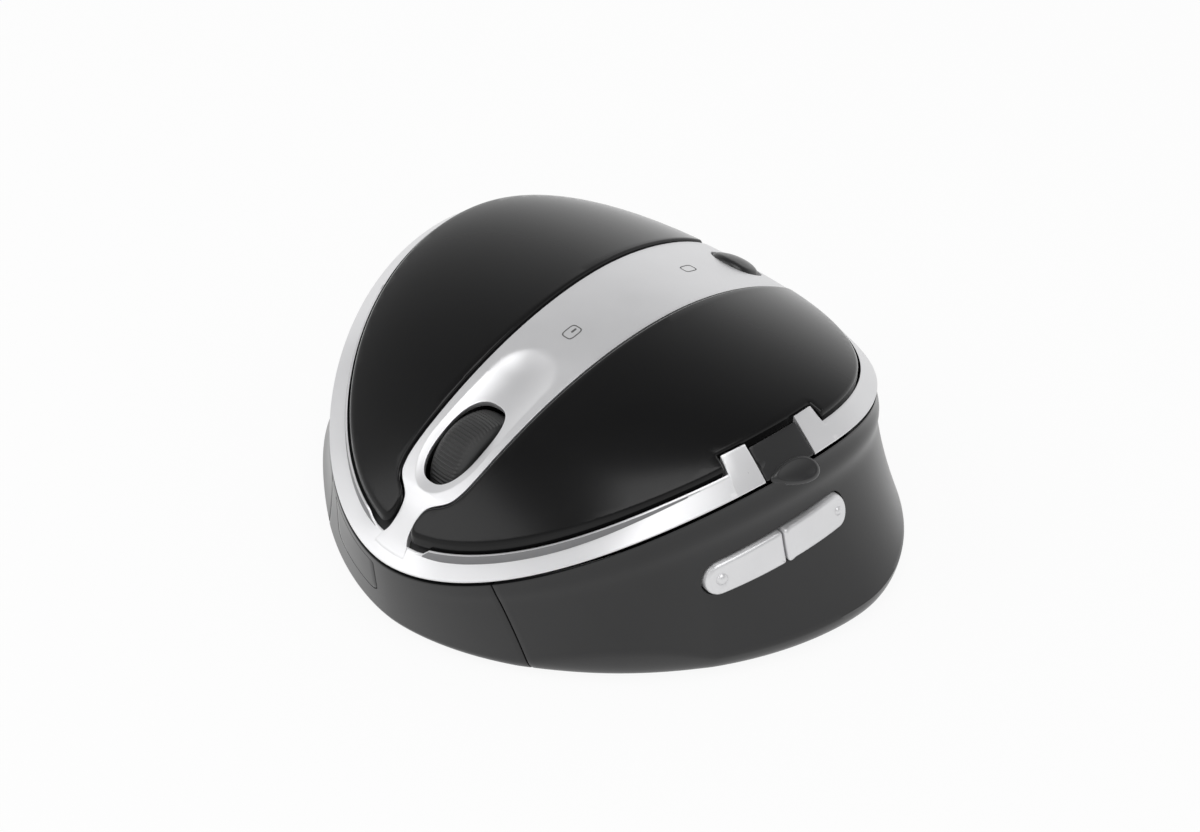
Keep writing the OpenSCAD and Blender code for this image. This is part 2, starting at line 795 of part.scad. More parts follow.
function ring_section(a) =
    let (band = in_ear(a) ? ear_reach : trim_width)
    let (sink = in_ear(a) ? pin_radius + ear_wall - catch_rise : shelf_sink)
    let (faces = [0, 0.35, 0.9, 1.8, band * 0.55 + 0.6, band - lip_width - 0.06])
    concat([for (d = faces) let (p = inset_point(a, d)) [p.x, p.y, band_z(p)]],
           [for (d = [band - lip_width, band]) let (p = inset_point(a, d)) [p.x, p.y, trim_z(p)]],
           [for (c = [[band, shelf_rise], [shelf_reach, shelf_rise], [shelf_reach, -sink], [1.9, -sink],
                      [1.5, 0], [0, 0]])
               let (p = inset_point(a, c.x))
               [p.x, p.y, rim_z(p.y) + c.y]]);

tray_screw_angles = [58, 122, 236, 304];

// Room for the leaf's knuckle, and for its post while the top tilts.
module leaf_pocket() {
    half = leaf_half + catch_gap;
    wide = leaf_radius + 0.65;
    translate([leaf_x - wide, leaf_y - half, leaf_z - 6])
    cube([2 * wide, 2 * half, 6 + leaf_radius + 0.35]);
    translate([leaf_x - wide, leaf_y - half, leaf_z - 6])
    cube([wide + leaf_inset - 1.4, 2 * half, 5.8]);
}

module trim_ring() {
    stations = all_stations();
    points = [for (a = stations) each ring_section(a)];
    lug_end = leaf_half + catch_gap + lug_length;
    placed()
    color(silver)
    difference() {
        union() {
            polyhedron(points, ring_faces(len(stations), 14), convexity = 10);
            rod(leaf_x, leaf_z, leaf_radius, leaf_y - lug_end, leaf_y + lug_end);
        }
        leaf_pocket();
        translate([-catch_x - 17.7, catch_rear, catch_z - 15])
        cube([20, catch_front - catch_rear, 30]);
        translate([-catch_x - 15, catch_rear, catch_z - 0.3])
        cube([20, catch_front - catch_rear, 10]);
        rod(-catch_x, catch_z, pin_radius + 0.02, catch_rear - pin_hold - 0.2, catch_front + pin_hold + 0.2);
        rod(leaf_x, leaf_z, leaf_pin + 0.02, leaf_y - lug_end + 0.4, leaf_y + lug_end - 0.4);
        for (a = tray_screw_angles)
            translate([inset_point(a, 8).x, inset_point(a, 8).y, rim_z(inset_point(a, 8).y) - 3])
            cylinder(r = 0.95, h = 2.8);
    }
}

// Spine with the wheel slot, the finger groove and the rear key's opening

module spine() {
    front = rim_front - trim_width - end_gap;
    back = -rim_rear + trim_width + end_gap;
    rows = concat([front, 59.6, 58, 56.6], surround_rows, [for (y = [44.5 : -1.5 : 20]) y],
                  [for (y = [17 : -5 : -28]) y], [-31, -34, back]);
    cols = [-1, -0.9, -0.7, -0.45, -0.2, 0, 0.2, 0.45, 0.7, 0.9, 1];
    top = [for (r = rows, t = cols)
        let (x = t * (spine_edge(r)))
        let (y = r == front || r == back ? end_y(x, r > 0) : r)
        [x, y, dome_z(x, y) - max(spine_drop, trim_drop(y) * ease((y - 50) / 10)) + groove(x, y)]];
    bottom = [for (p = top) [p.x, p.y, p.z - spine_wall]];
    placed()
    color(silver)
    difference() {
        polyhedron(concat(top, bottom), sheet_faces(len(rows), len(cols)), convexity = 6);
        translate([0, wheel_y, 0])
        linear_extrude(60)
        polygon(ellipse_points(slot_half_width, slot_half_length, 48, 2.5));
        rear_key_frame()
        translate([0, 0, -8])
        linear_extrude(16)
        polygon(ellipse_points(rear_key_half_width + shell_gap, rear_key_half_length + shell_gap, 40, 2.3));
    }
}

module rear_key_frame() {
    translate([0, rear_key_y, dome_z(0, rear_key_y)])
    rotate([rear_key_tilt, 0, 0])
    children();
}

module rear_key() {
    round_radius = 16;
    placed()
    color(grey)
    rear_key_frame()
    intersection() {
        translate([0, 0, -2.6])
        linear_extrude(8)
        polygon(ellipse_points(rear_key_half_width, rear_key_half_length, 40, 2.3));
        translate([0, 0, rear_key_proud - round_radius])
        sphere(r = round_radius, $fn = 60);
    }
}

// Click shells: one sheet each, from the spine's edge to the trim band

module click_shell(notched, skirt) {
    first = 95.5;
    last = 253;
    front = rim_front - trim_width - shell_gap - 0.4;
    back = -rim_rear + trim_width + shell_gap + 0.4;
    middle = (front + back) / 2;
    half = (front - back) / 2;
    ear_first = rim_angle(ear_front + shell_gap);
    ear_last = rim_angle(ear_rear - shell_gap);
    nose = [for (i = [0 : 3]) front - (front - neck_start - 0.4) * i / 3];
    flank = [for (y = [43.5 : -3 : 36]) y];
    angles = concat([for (y = concat(nose, surround_rows, flank))
                        first + (last - first) * acos((y - middle) / half) / 180],
                    [ear_first - 0.15, ear_first],
                    [for (i = [1 : 3]) ear_first + (ear_last - ear_first) * i / 4],
                    [ear_last, ear_last + 0.15],
                    [for (i = [1 : 10]) ear_last + (last - ear_last) * i / 10]);
    deep = ear_reach + shell_gap + 0.6;
    plan = [for (a = angles)
        let (y = middle + half * cos((a - first) / (last - first) * 180))
        let (inner = [-spine_clear(y, shell_gap), y])
        let (in_notch = notched && a > ear_first - 0.01 && a < ear_last + 0.01)
        let (edge = (in_notch ? ear_reach : trim_width) + shell_gap)
        let (bend = inset_point(a, deep))
        concat([for (t = [0, 0.12, 0.3, 0.5, 0.7, 0.88]) inner + (bend - inner) * t],
               [for (t = [0, 0.5, 1]) inset_point(a, deep + (edge - deep) * t)])];
    columns = len(plan[0]);
    top = [for (row = plan, p = row) [p.x, p.y, dome_z(p.x, p.y)]];
    bottom = [for (row = plan, j = [0 : columns - 1])
        let (p = row[j])
        let (deeper = j == 0 ? shell_skirt : j == columns - 1 ? skirt : 0)
        [p.x, p.y, dome_z(p.x, p.y) - shell_wall - deeper]];
    polyhedron(concat(top, bottom), flip(sheet_faces(len(plan), columns)), convexity = 6);
}

module left_shell() {
    placed()
    color(black)
    click_shell(true, shell_skirt);
}

module right_shell() {
    placed()
    color(black)
    mirror([1, 0, 0])
    click_shell(false, 0);
}

// Upper tray and what it carries

module upper_tray() {
    back = -rim_rear + tray_reach + 0.6;
    front = rim_front - tray_reach - 0.6;
    rows = [for (i = [0 : 16]) back + (front - back) * i / 16];
    cols = [-1, -0.8, -0.5, 0, 0.5, 0.8, 1];
    top = [for (y = rows, t = cols)
        [t * half_width(y, tray_reach), y, rim_z(y) - shelf_sink - tray_gap]];
    bottom = [for (p = top) [p.x, p.y, p.z - tray_wall]];
    placed()
    color(grey)
    difference() {
        polyhedron(concat(top, bottom), flip(sheet_faces(len(rows), len(cols))), convexity = 4);
        translate([-7, axle_y - wheel_radius - 4.6, 0])
        cube([14, 2 * wheel_radius + 7.2, 60]);
        translate([-rim_half_width + shelf_reach - 19.4, ear_rear - 1.5, 0])
        cube([20, ear_front - ear_rear + 3, 60]);
        for (a = tray_screw_angles)
            let (p = inset_point(a, 8))
            let (base = rim_z(p.y) - shelf_sink - tray_gap - tray_wall)
            translate([p.x, p.y, base - 9])
            union() {
                cylinder(r = 1.7 + fit_gap, h = 9);
                cylinder(r = 0.9 + fit_gap, h = 20);
            }
    }
}

module tray_screws() {
    placed()
    color(steel)
    for (a = tray_screw_angles)
        let (p = inset_point(a, 8))
        let (base = rim_z(p.y) - shelf_sink - tray_gap - tray_wall)
        translate([p.x, p.y, base - 0.65])
        union() {
            cylinder(r = 1.7, h = 0.6);
            cylinder(r = 0.9, h = tray_wall + 1.5);
        }
}

switch_y = 38;

module click_switches() {
    placed()
    color(rubber)
    for (s = [-1, 1])
        translate([s * 19, switch_y, rim_z(switch_y) - shelf_sink - tray_gap])
        rotate([atan(rim_slope - 2 * rim_arch * switch_y), 0, 0])
        union() {
            translate([-3, -3, 0.1])
            cube([6, 6, 1.7]);
            translate([0, 0, 0.1])
            cylinder(r = 1.5, h = 2.2);
        }
}

module wheel_carrier() {
    arm = wheel_width / 2 + 0.7;
    back = axle_y - wheel_radius - 3.8;
    placed()
    color(grey)
    difference() {
        union() {
            for (s = [-1, 1])
                translate([s * (arm + 0.7) - 0.7, back, axle_z - 3])
                cube([1.4, axle_y - back + 4, 6]);
            translate([-arm - 1.4, back, axle_z - 3])
            cube([2 * arm + 2.8, 2.6, 6]);
        }
        translate([-20, axle_y, axle_z])
        rotate([0, 90, 0])
        cylinder(r = axle_radius + running_gap, h = 40, $fn = 40);
    }
}

module wheel_axle() {
    placed()
    color(steel)
    translate([-wheel_width / 2 - 2.1, axle_y, axle_z])
    rotate([0, 90, 0])
    cylinder(r = axle_radius, h = wheel_width + 4.2, $fn = 40);
}

module wheel_frame() {
    translate([0, axle_y, axle_z])
    rotate([0, 90, 0])
    children();
}

module wheel_hub() {
    placed()
    color(rubber)
    wheel_frame()
    difference() {
        cylinder(r = wheel_radius - 2.2, h = wheel_width - 0.4, center = true, $fn = 60);
        cylinder(r = axle_radius + 0.02, h = wheel_width + 2, center = true, $fn = 40);
        for (s = [-1, 1], i = [0 : 4])
            rotate([0, 0, i * 72])
            translate([4.9, 0, s * wheel_width / 2])
            cylinder(r = 1.9, h = 4, center = true, $fn = 30);
    }
}

module wheel_tyre() {
    half = wheel_width / 2;
    inner = wheel_radius - 2.2 + 0.02;
    placed()
    color(rubber)
    wheel_frame()
    difference() {
        union() {
            rotate_extrude($fn = 80)
            polygon([[inner - 1, -half], [wheel_radius - 2, -half], [wheel_radius - 1.1, -half + 0.45],
                     [wheel_radius - 0.5, -half + 1.2], [wheel_radius - 0.3, -half + 2.1],
                     [wheel_radius - 0.3, half - 2.1], [wheel_radius - 0.5, half - 1.2],
                     [wheel_radius - 1.1, half - 0.45], [wheel_radius - 2, half], [inner - 1, half]]);
            linear_extrude(wheel_width - 4.2, center = true)
            polygon([for (i = [0 : 4 * rib_count - 1])
                let (a = 360 * i / (4 * rib_count))
                let (r = i % 4 < 2 ? wheel_radius : wheel_radius - 0.4)
                r * [cos(a), sin(a)]]);
        }
        cylinder(r = inner, h = 20, center = true, $fn = 60);
    }
}

base_front();
base_left();
base_right();
front_flap();
base_deck();
bottom_plate();
base_screws();
glide_feet();
sensor_lens();
sensor_chip();
main_board();
battery_cradle();
battery_cells();
battery_hatch();
power_slider();
front_thumb_key();
rear_thumb_key();
thumb_catch();
hinge_leaf();
hinge_pins();
trim_ring();
spine();
upper_tray();
tray_screws();
left_shell();
right_shell();
click_switches();
wheel_carrier();
wheel_axle();
wheel_hub();
wheel_tyre();
rear_key();
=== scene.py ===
import math

import bpy
from mathutils import Matrix, Vector


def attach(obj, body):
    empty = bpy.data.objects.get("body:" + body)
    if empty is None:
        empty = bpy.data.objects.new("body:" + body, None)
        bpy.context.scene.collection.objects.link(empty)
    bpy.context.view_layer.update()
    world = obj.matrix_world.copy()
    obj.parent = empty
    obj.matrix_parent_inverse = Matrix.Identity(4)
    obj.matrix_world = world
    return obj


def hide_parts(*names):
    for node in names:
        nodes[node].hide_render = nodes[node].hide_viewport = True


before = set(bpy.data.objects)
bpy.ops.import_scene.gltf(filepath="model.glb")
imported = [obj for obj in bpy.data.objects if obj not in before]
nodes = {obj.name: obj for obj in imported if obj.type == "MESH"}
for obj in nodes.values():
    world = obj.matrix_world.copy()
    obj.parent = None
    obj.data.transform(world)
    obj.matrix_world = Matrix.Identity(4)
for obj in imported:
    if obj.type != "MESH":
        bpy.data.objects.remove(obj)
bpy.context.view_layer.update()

MM = 0.001
# The curves have y = 0 at the rim's widest point, and the part's origin lies this far ahead of it.
AHEAD = 9.25

# Sizes of the mouse in millimetres, angles in degrees

# Rim, foot, dome and wall
RIM_WIDE, RIM_FRONT, RIM_REAR = 50.0, 64.6, 40.1
RIM_FRONT_POWER, RIM_REAR_POWER = 1.875, 2.274
RIM_HEIGHT, RIM_SLOPE, RIM_ARCH = 36.5, 0.036, 0.00512
FOOT_WIDE, FOOT_FRONT, FOOT_REAR = 62.0, 64.8, 44.4
FOOT_FRONT_POWER, FOOT_REAR_POWER, FOOT_SHIFT = 1.772, 1.903, -1.7
CROWN_HEIGHT, CROWN_POWER, CROWN_ROUND = 8.4, 1.479, 2.933
WALL_DROP, FOOT_LIFT, FOOT_ROLL, WALL_THICK, FLANK_HOLLOW = 0.7, 0.8, 2.0, 2.0, 0.8
LEDGE, LEDGE_RISE, LEDGE_ANGLE, LEDGE_SPREAD = 0.88, 0.13, 131, 17
COLLAR_SWELL, COLLAR_PLACE, COLLAR_SPREAD = 0.7, 0.13, 0.075
SEAM_ANGLE, SEAM_LEAN, SEAM_HALF_GAP = 110.0, 6.4, 0.16

# Trim, shells, ears and catch
TRIM_WIDTH, TRIM_EDGE, TRIM_SHELF = 3.5, 0.4, 9.5
SIDE_DROP, FRONT_DROP, BAND_STEP, NECK_STEP_SHARE = 0.6, 0.8, 1.8, 0.55
SHELL_GAP, SHELL_EDGE, SHELL_NET = 0.5, 0.6, 1.6
LEFT_SHELL_THICK, RIGHT_SHELL_THICK = 2.1, 1.6
LEFT_FRONT_CORNER, RIGHT_FRONT_CORNER = 1.4, 1.6
SHELL_REAR_CORNER, EAR_OUTER_CORNER, EAR_INNER_CORNER = 1.2, 0.6, 0.3
EAR_REAR, CATCH_REAR, CATCH_FRONT, EAR_FRONT = -1.6, 3.6, 15.2, 21.4
EAR_REACH, EAR_SWELL, EAR_SINK, BAND_SINK = 6.4, 0.12, 1.2, 1.0
CATCH_MIDDLE = (CATCH_REAR + CATCH_FRONT) / 2
CATCH_REACH, CATCH_GAP, CATCH_X, CATCH_Z = 5.7, 0.3, 44.8, 36.8
KNUCKLE_RADIUS, KNUCKLE_BORE, CATCH_CORNER = 1.85, 1.06, 0.3
NUB_LONG, NUB_DEEP, NUB_HIGH, NUB_LEAN, NUB_AHEAD = 4.85, 2.5, 1.4, 38, 0.45

# Spine, neck, wheel and rear key
SPINE_HALF, SPINE_TAPER, SPINE_DROP, SPINE_THICK, SPINE_GAP = 9.5, 0.039, 0.5, 1.6, 0.12
NECK_Y, NECK_FOOT, NECK_LIFT, NECK_SINK, NECK_INSET = 56.0, 1.6, 0.03, 0.35, 1.3
FILLET_Y, FILLET_LONG, FILLET_WIDE = 59.6, 1.5, 0.6
GROOVE_REAR, GROOVE_FRONT, GROOVE_HALF, GROOVE_DEEP = 29.0, 45.0, 6.4, 1.3
GROOVE_REAR_RUN, GROOVE_FRONT_RUN = 7.0, 9.0
WHEEL_Y, SLOT_LONG, SLOT_WIDE, SLOT_POWER = 43.4, 8.6, 4.9, 2.5
WHEEL_RADIUS, WHEEL_WIDTH, WHEEL_PROUD, WHEEL_SINK = 9.8, 8.2, 2.4, 1.8
TYRE_RIBS, RIB_LIFT, TREAD_DROP = 72, 0.26, 0.27
REAR_KEY_Y, REAR_KEY_WIDE, REAR_KEY_LONG, REAR_KEY_POWER = -32.1, 5.2, 4.0, 2.3
REAR_KEY_PROUD, REAR_KEY_DOME, REAR_KEY_SIDE_GAP, REAR_KEY_END_GAP = 0.9, 12.0, 0.5, 0.45
MARK_HALF, MARK_LIFT, MARK_SINK, MARK_POWER = 0.11, 0.03, 0.1, 4

# Side keys and front panel
KEY_LONG, KEY_HALF, KEY_GAP, KEY_PROUD, KEY_LIP = 16.0, 3.05, 0.4, 1.1, 0.22
FRONT_DOT_PLACE, FRONT_DOT_RADIUS, REAR_DOT_PLACE, REAR_DOT_RADIUS = 3.0, 1.1, 2.5, 0.82
PANEL_HALF_LONG, PANEL_HALF_HIGH, PANEL_GAP = 9.0, 8.0, 0.2
CUT_DEEP, WALL_EDGE = 12.0, 0.25

# Places on the flank: angles in degrees, and shares of the way from the rim to the foot
FRONT_KEY_ENDS, REAR_KEY_ENDS, KEY_PRESS = (147.4, 164.84), (165.16, 182.2), 9
KEY_MIDDLE, KEY_MIDDLE_ANGLE, KEY_CLIMB, KEY_SHARE = 0.425, 148, 0.0017, 0.088
PANEL_ANGLE, PANEL_SPREAD, PANEL_MIDDLE, PANEL_SHARE = 80, 7.4, 0.35, 0.25

# Where a change along the mouse, across it or away from the catch starts and ends
TRIM_FALL, STEP_FALL, NECK_FALL = (18, 52), (20, 50), (50, 60)
STEP_RISE, LIP_RISE = (2, 11), (6.2, 7.5)
CATCH_CALM, CATCH_CALM_END = 0.15, (12, 30)

# The neck's half widths, as places along it and widths there
NECK = [(40, 7.94), (46, 7.7), (50, 7.34), (52, 6.84), (53.2, 6.25), (54.2, 5.15), (54.9, 4.0), (55.7, 2.95),
        (56.7, 2.35), (58, 2.1), (59, 2.12), (60, 2.3), (61, 2.6), (62, 2.9), (64, 3.5)]


# Steps and smooth runs

def steps(low, high, count):
    """Even steps from low to high, with both ends."""
    return [low + (high - low) * i / count for i in range(count + 1)]


def closing_steps(low, high, count):
    """Steps from low to high that draw closer towards the end."""
    return [low + (high - low) * math.sin(math.pi / 2 * i / count) for i in range(count + 1)]


def turns(count):
    """Even angles round a full circle."""
    return [2 * math.pi * i / count for i in range(count)]


def fade(value, start, end):
    """Rises smoothly from 0 to 1 while a value goes from start to end."""
    t = min(1, max(0, (value - start) / (end - start)))
    return t * t * (3 - 2 * t)


def cubic(t, start, end, leave, arrive):
    """A smooth run from start to end, for t from 0 to 1, with its slopes at both ends."""
    bend = 3 * (end - start) - 2 * leave - arrive
    twist = 2 * (start - end) + leave + arrive
    return start + t * (leave + t * (bend + t * twist))


def through(run, y):
    """A smooth curve through the places of a run."""
    k = 1
    while k < len(run) - 3 and y > run[k + 1][0]:
        k += 1
    (y0, v0), (y1, v1), (y2, v2), (y3, v3) = run[k - 1:k + 3]
    reach = y2 - y1
    leave, arrive = (v2 - v0) / (y2 - y0) * reach, (v3 - v1) / (y3 - y1) * reach
    return cubic((y - y1) / reach, v1, v2, leave, arrive)


def solve(f, low, high):
    """Where f changes sign between low and high."""
    sign = f(low) > 0
    for _ in range(50):
        mid = (low + high) / 2
        if (f(mid) > 0) == sign:
            low = mid
        else:
            high = mid
    return (low + high) / 2


def oval(x, y, wide, long, power):
    """The point of an oval in the direction of x and y."""
    t = math.atan2(y / long, x / wide)
    c, s = math.cos(t), math.sin(t)
    return wide * math.copysign(abs(c) ** (2 / power), c), long * math.copysign(abs(s) ** (2 / power), s)


# Surfaces of the mouse

def quarter_radius(angle, wide, long, power):
    """The radius of a quarter of an outline, by its half width, its length and its power."""
    return ((abs(math.cos(angle)) / wide) ** power + (abs(math.sin(angle)) / long) ** power) ** (-1 / power)


def rim_half(ahead):
    """Length and power of the rim's front or rear half."""
    return (RIM_FRONT, RIM_FRONT_POWER) if ahead else (RIM_REAR, RIM_REAR_POWER)


def rim_radius(angle):
    return quarter_radius(angle, RIM_WIDE, *rim_half(math.sin(angle) > 0))


def foot_radius(angle):
    ahead = math.sin(angle) > 0
    long, power = (FOOT_FRONT, FOOT_FRONT_POWER) if ahead else (FOOT_REAR, FOOT_REAR_POWER)
    return quarter_radius(angle, FOOT_WIDE, long, power)


def rim_z(y):
    return RIM_HEIGHT + RIM_SLOPE * y - RIM_ARCH * y * y


def rim_point(angle):
    r = rim_radius(angle)
    return r * math.cos(angle), r * math.sin(angle)


def inset_point(angle, depth):
    """The rim's point at an angle, moved in square to the rim."""
    x, y = rim_point(angle)
    long, power = rim_half(y > 0)
    gx = math.copysign(abs(x) ** (power - 1) / RIM_WIDE ** power, x)
    gy = math.copysign(abs(y) ** (power - 1) / long ** power, y)
    g = math.hypot(gx, gy)
    return x - depth * gx / g, y - depth * gy / g


def inset_run(start, end, depth, count):
    return [inset_point(angle, depth) for angle in steps(start, end, count)]


def half_width(y, inset):
    """Half the width at y of the outline moved in by inset."""
    long, power = rim_half(y > 0)
    return (RIM_WIDE - inset) * max(1e-4, 1 - min(1, abs(y) / (long - inset)) ** power) ** (1 / power)


def end_y(x, ahead, inset):
    """Where the outline moved in by inset crosses x, in front or behind."""
    long, power = rim_half(ahead)
    reach = (long - inset) * max(0, 1 - (abs(x) / (RIM_WIDE - inset)) ** power) ** (1 / power)
    return reach if ahead else -reach


def rim_angle(y):
    """The angle of the rim's point at y on the thumb side."""
    return math.atan2(y, -half_width(y, 0)) % (2 * math.pi)


def dome_z(x, y):
    share = min(1, math.hypot(x, y) / rim_radius(math.atan2(y, x)))
    return rim_z(y) + CROWN_HEIGHT * max(0.0, 1 - share ** CROWN_POWER) ** (1 / CROWN_ROUND)


def dome_tilt(y):
    """The dome's slope along the middle, as an angle."""
    near = 3
    return math.atan2(dome_z(0, y + near) - dome_z(0, y - near), 2 * near)


def trim_drop(y):
    """How far the trim lies below the dome."""
    return SIDE_DROP + FRONT_DROP * fade(y, *TRIM_FALL)


def trim_z(x, y):
    return max(rim_z(y) + TRIM_EDGE, dome_z(x, y) - trim_drop(y))


def band_z(x, y):
    """The band's top: in front it lies a step below the trim's inner lip, but less so at the neck."""
    share = NECK_STEP_SHARE + (1 - NECK_STEP_SHARE) * fade(abs(x), *STEP_RISE)
    step = BAND_STEP * fade(y, *STEP_FALL) * share
    return max(rim_z(y) + TRIM_EDGE, dome_z(x, y) - trim_drop(y) - step)


def face_slope(x, y):
    """Slope of the trim's flat face at a point of its inner edge; it is gentler beside the catch."""
    gentle = CATCH_CALM * (1 - fade(abs(y - CATCH_MIDDLE), *CATCH_CALM_END)) if x < 0 else 0
    return max(0, band_z(x, y) - rim_z(y) - TRIM_EDGE) / TRIM_WIDTH * (1 - gentle)


def spine_edge(y):
    """Half the spine's width."""
    return SPINE_HALF - SPINE_TAPER * y if y < NECK[1][0] else through(NECK, y)


def spine_clear(y, gap):
    """The spine's half width plus a gap, measured square to its edge."""
    ways = [math.radians(degrees) for degrees in range(-80, 81, 10)]
    return max(spine_edge(y + gap * math.sin(t)) + gap * math.cos(t) for t in ways)


def groove(x, y):
    """The finger groove round the wheel, as a height below the spine."""
    past = max((y - GROOVE_FRONT) / GROOVE_FRONT_RUN, (GROOVE_REAR - y) / GROOVE_REAR_RUN, 0)
    return -GROOVE_DEEP * max(0, 1 - (x / GROOVE_HALF) ** 2 - past * past)


def spine_top(x, y):
    return dome_z(x, y) - max(SPINE_DROP, trim_drop(y) * fade(y, *NECK_FALL)) + groove(x, y)


def spine_z(x, y):
    """The spine's top; in front of NECK_Y the neck sinks into the band in one smooth run."""
    if y <= NECK_Y:
        return spine_top(x, y)
    rim = end_y(x, True, 0)
    slope = face_slope(x, end_y(x, True, TRIM_WIDTH))

    def band_top(q):
        return rim_z(q) + TRIM_EDGE + NECK_LIFT + slope * (rim - q)

    foot = rim - NECK_FOOT
    if y > foot:
        return band_top(y) - NECK_SINK * fade(y, foot, foot + 0.6)
    run, near = foot - NECK_Y, 0.1
    high, low = spine_top(x, NECK_Y), band_top(foot)
    leave = (high - spine_top(x, NECK_Y - near)) / near * run
    arrive = (low - band_top(foot - near)) / near * run
    return cubic((y - NECK_Y) / run, high, low, leave, arrive)


def ledge(angle):
    """Where the wall starts to roll under, as a share of the way down; at the front corner it is higher."""
    off_corner = (math.degrees(angle) % 360 - LEDGE_ANGLE) / LEDGE_SPREAD
    return LEDGE - LEDGE_RISE * max(0, 1 - off_corner ** 2)


def wall_point(angle, v, grow=0.0):
    """A point of the base's outer wall: v runs from the rim to the foot, and grow moves it outward."""
    x, y = rim_point(angle)
    r = foot_radius(angle)
    foot_x, foot_y = r * math.cos(angle), FOOT_SHIFT + r * math.sin(angle)
    side = math.cos(angle) ** 2
    edge = ledge(angle)
    k = (min(v, edge) / edge) ** (1 + FLANK_HOLLOW * side)
    px, py = x + (foot_x - x) * k, y + (foot_y - y) * k
    t = max(0, (v - edge) / (1 - edge))
    roll = FOOT_ROLL * (1 - math.sqrt(max(0, 1 - t * t)))
    collar = COLLAR_SWELL * side * math.exp(-((v - COLLAR_PLACE) / COLLAR_SPREAD) ** 2)
    s = 1 + (grow + collar - roll) / math.hypot(px, py)
    return px * s, py * s, (rim_z(y) - WALL_DROP) * (1 - v) + FOOT_LIFT * v


# Modelling steps

def deselect():
    if bpy.context.mode != "OBJECT":
        bpy.ops.object.mode_set(mode="OBJECT")
    bpy.ops.object.select_all(action="DESELECT")


def pick(o):
    deselect()
    bpy.context.view_layer.objects.active = o
    o.select_set(True)
    return o


def edit(o):
    """Opens a mesh in edit mode, with all of it selected."""
    pick(o)
    bpy.ops.object.mode_set(mode="EDIT")
    bpy.ops.mesh.select_all(action="SELECT")


def leave_edit():
    bpy.ops.object.mode_set(mode="OBJECT")


def made(name):
    o = bpy.context.object
    o.name = name
    o.data.name = name
    return o


def put(o, points):
    """Moves the mesh's points to places given in the curves' millimetres."""
    flat = []
    for x, y, z in points:
        flat += (x * MM, (y - AHEAD) * MM, z * MM)
    o.data.vertices.foreach_set("co", flat)
    o.data.update()


def shape(o, surface):
    """Lays the flat points of a mesh, in millimetres, on a surface."""
    put(o, [surface(v.co.x, v.co.y, v.co.z) for v in o.data.vertices])


def tidy(o, distance=0.01):
    """Joins points that meet and turns the faces outward."""
    edit(o)
    bpy.ops.mesh.remove_doubles(threshold=distance * MM)
    bpy.ops.mesh.normals_make_consistent(inside=False)
    leave_edit()
    return o


def flip(o):
    edit(o)
    bpy.ops.mesh.flip_normals()
    leave_edit()
    return o


def smooth(o, degrees=35):
    pick(o)
    bpy.ops.object.shade_smooth_by_angle(angle=math.radians(degrees))
    return o


def finish_with(o, **settings):
    """Adds one modifier with these settings and applies it."""
    pick(o)
    m = o.modifiers.new(settings["type"].title(), settings.pop("type"))
    for key, value in settings.items():
        setattr(m, key, value)
    bpy.ops.object.modifier_apply(modifier=m.name)
    return o


def round_edges(o, width, segments=3, degrees=40):
    return finish_with(o, type="BEVEL", width=width * MM, segments=segments, limit_method="ANGLE",
                       angle_limit=math.radians(degrees), use_clamp_overlap=True, miter_outer="MITER_ARC")


def cut_with(o, cutter):
    finish_with(o, type="BOOLEAN", operation="DIFFERENCE", solver="EXACT", object=cutter)
    bpy.data.objects.remove(cutter)
    return o


def sheet(name, columns, rows, surface):
    """A grid whose points are laid on a surface by u and v, each from 0 to 1."""
    deselect()
    bpy.ops.mesh.primitive_grid_add(x_subdivisions=columns, y_subdivisions=rows, size=2)
    o = made(name)
    put(o, [surface((v.co.x + 1) / 2, (v.co.y + 1) / 2) for v in o.data.vertices])
    return o


def ring(name, sections):
    """A torus whose sections are laid point by point."""
    deselect()
    bpy.ops.mesh.primitive_torus_add(major_segments=len(sections), minor_segments=len(sections[0]),
                                     major_radius=0.05, minor_radius=0.01)
    o = made(name)
    put(o, [p for s in sections for p in s])
    return tidy(o)


def strip(name, sections):
    """A closed section swept along a run of places, with both ends capped."""
    loop = [s + [s[0]] for s in sections]
    columns, rows = len(loop) - 1, len(loop[0]) - 1
    o = sheet(name, columns, rows, lambda u, v: loop[round(u * columns)][round(v * rows)])
    edit(o)
    bpy.ops.mesh.remove_doubles(threshold=0.005 * MM)
    bpy.ops.mesh.select_all(action="DESELECT")
    bpy.ops.mesh.select_mode(type="EDGE")
    bpy.ops.mesh.select_non_manifold()
    bpy.ops.mesh.edge_face_add()
    bpy.ops.mesh.select_all(action="SELECT")
    bpy.ops.mesh.normals_make_consistent(inside=False)
    leave_edit()
    return o


def joined(pieces):
    deselect()
    for p in pieces:
        p.select_set(True)
    bpy.context.view_layer.objects.active = pieces[0]
    bpy.ops.object.join()
    return pieces[0]


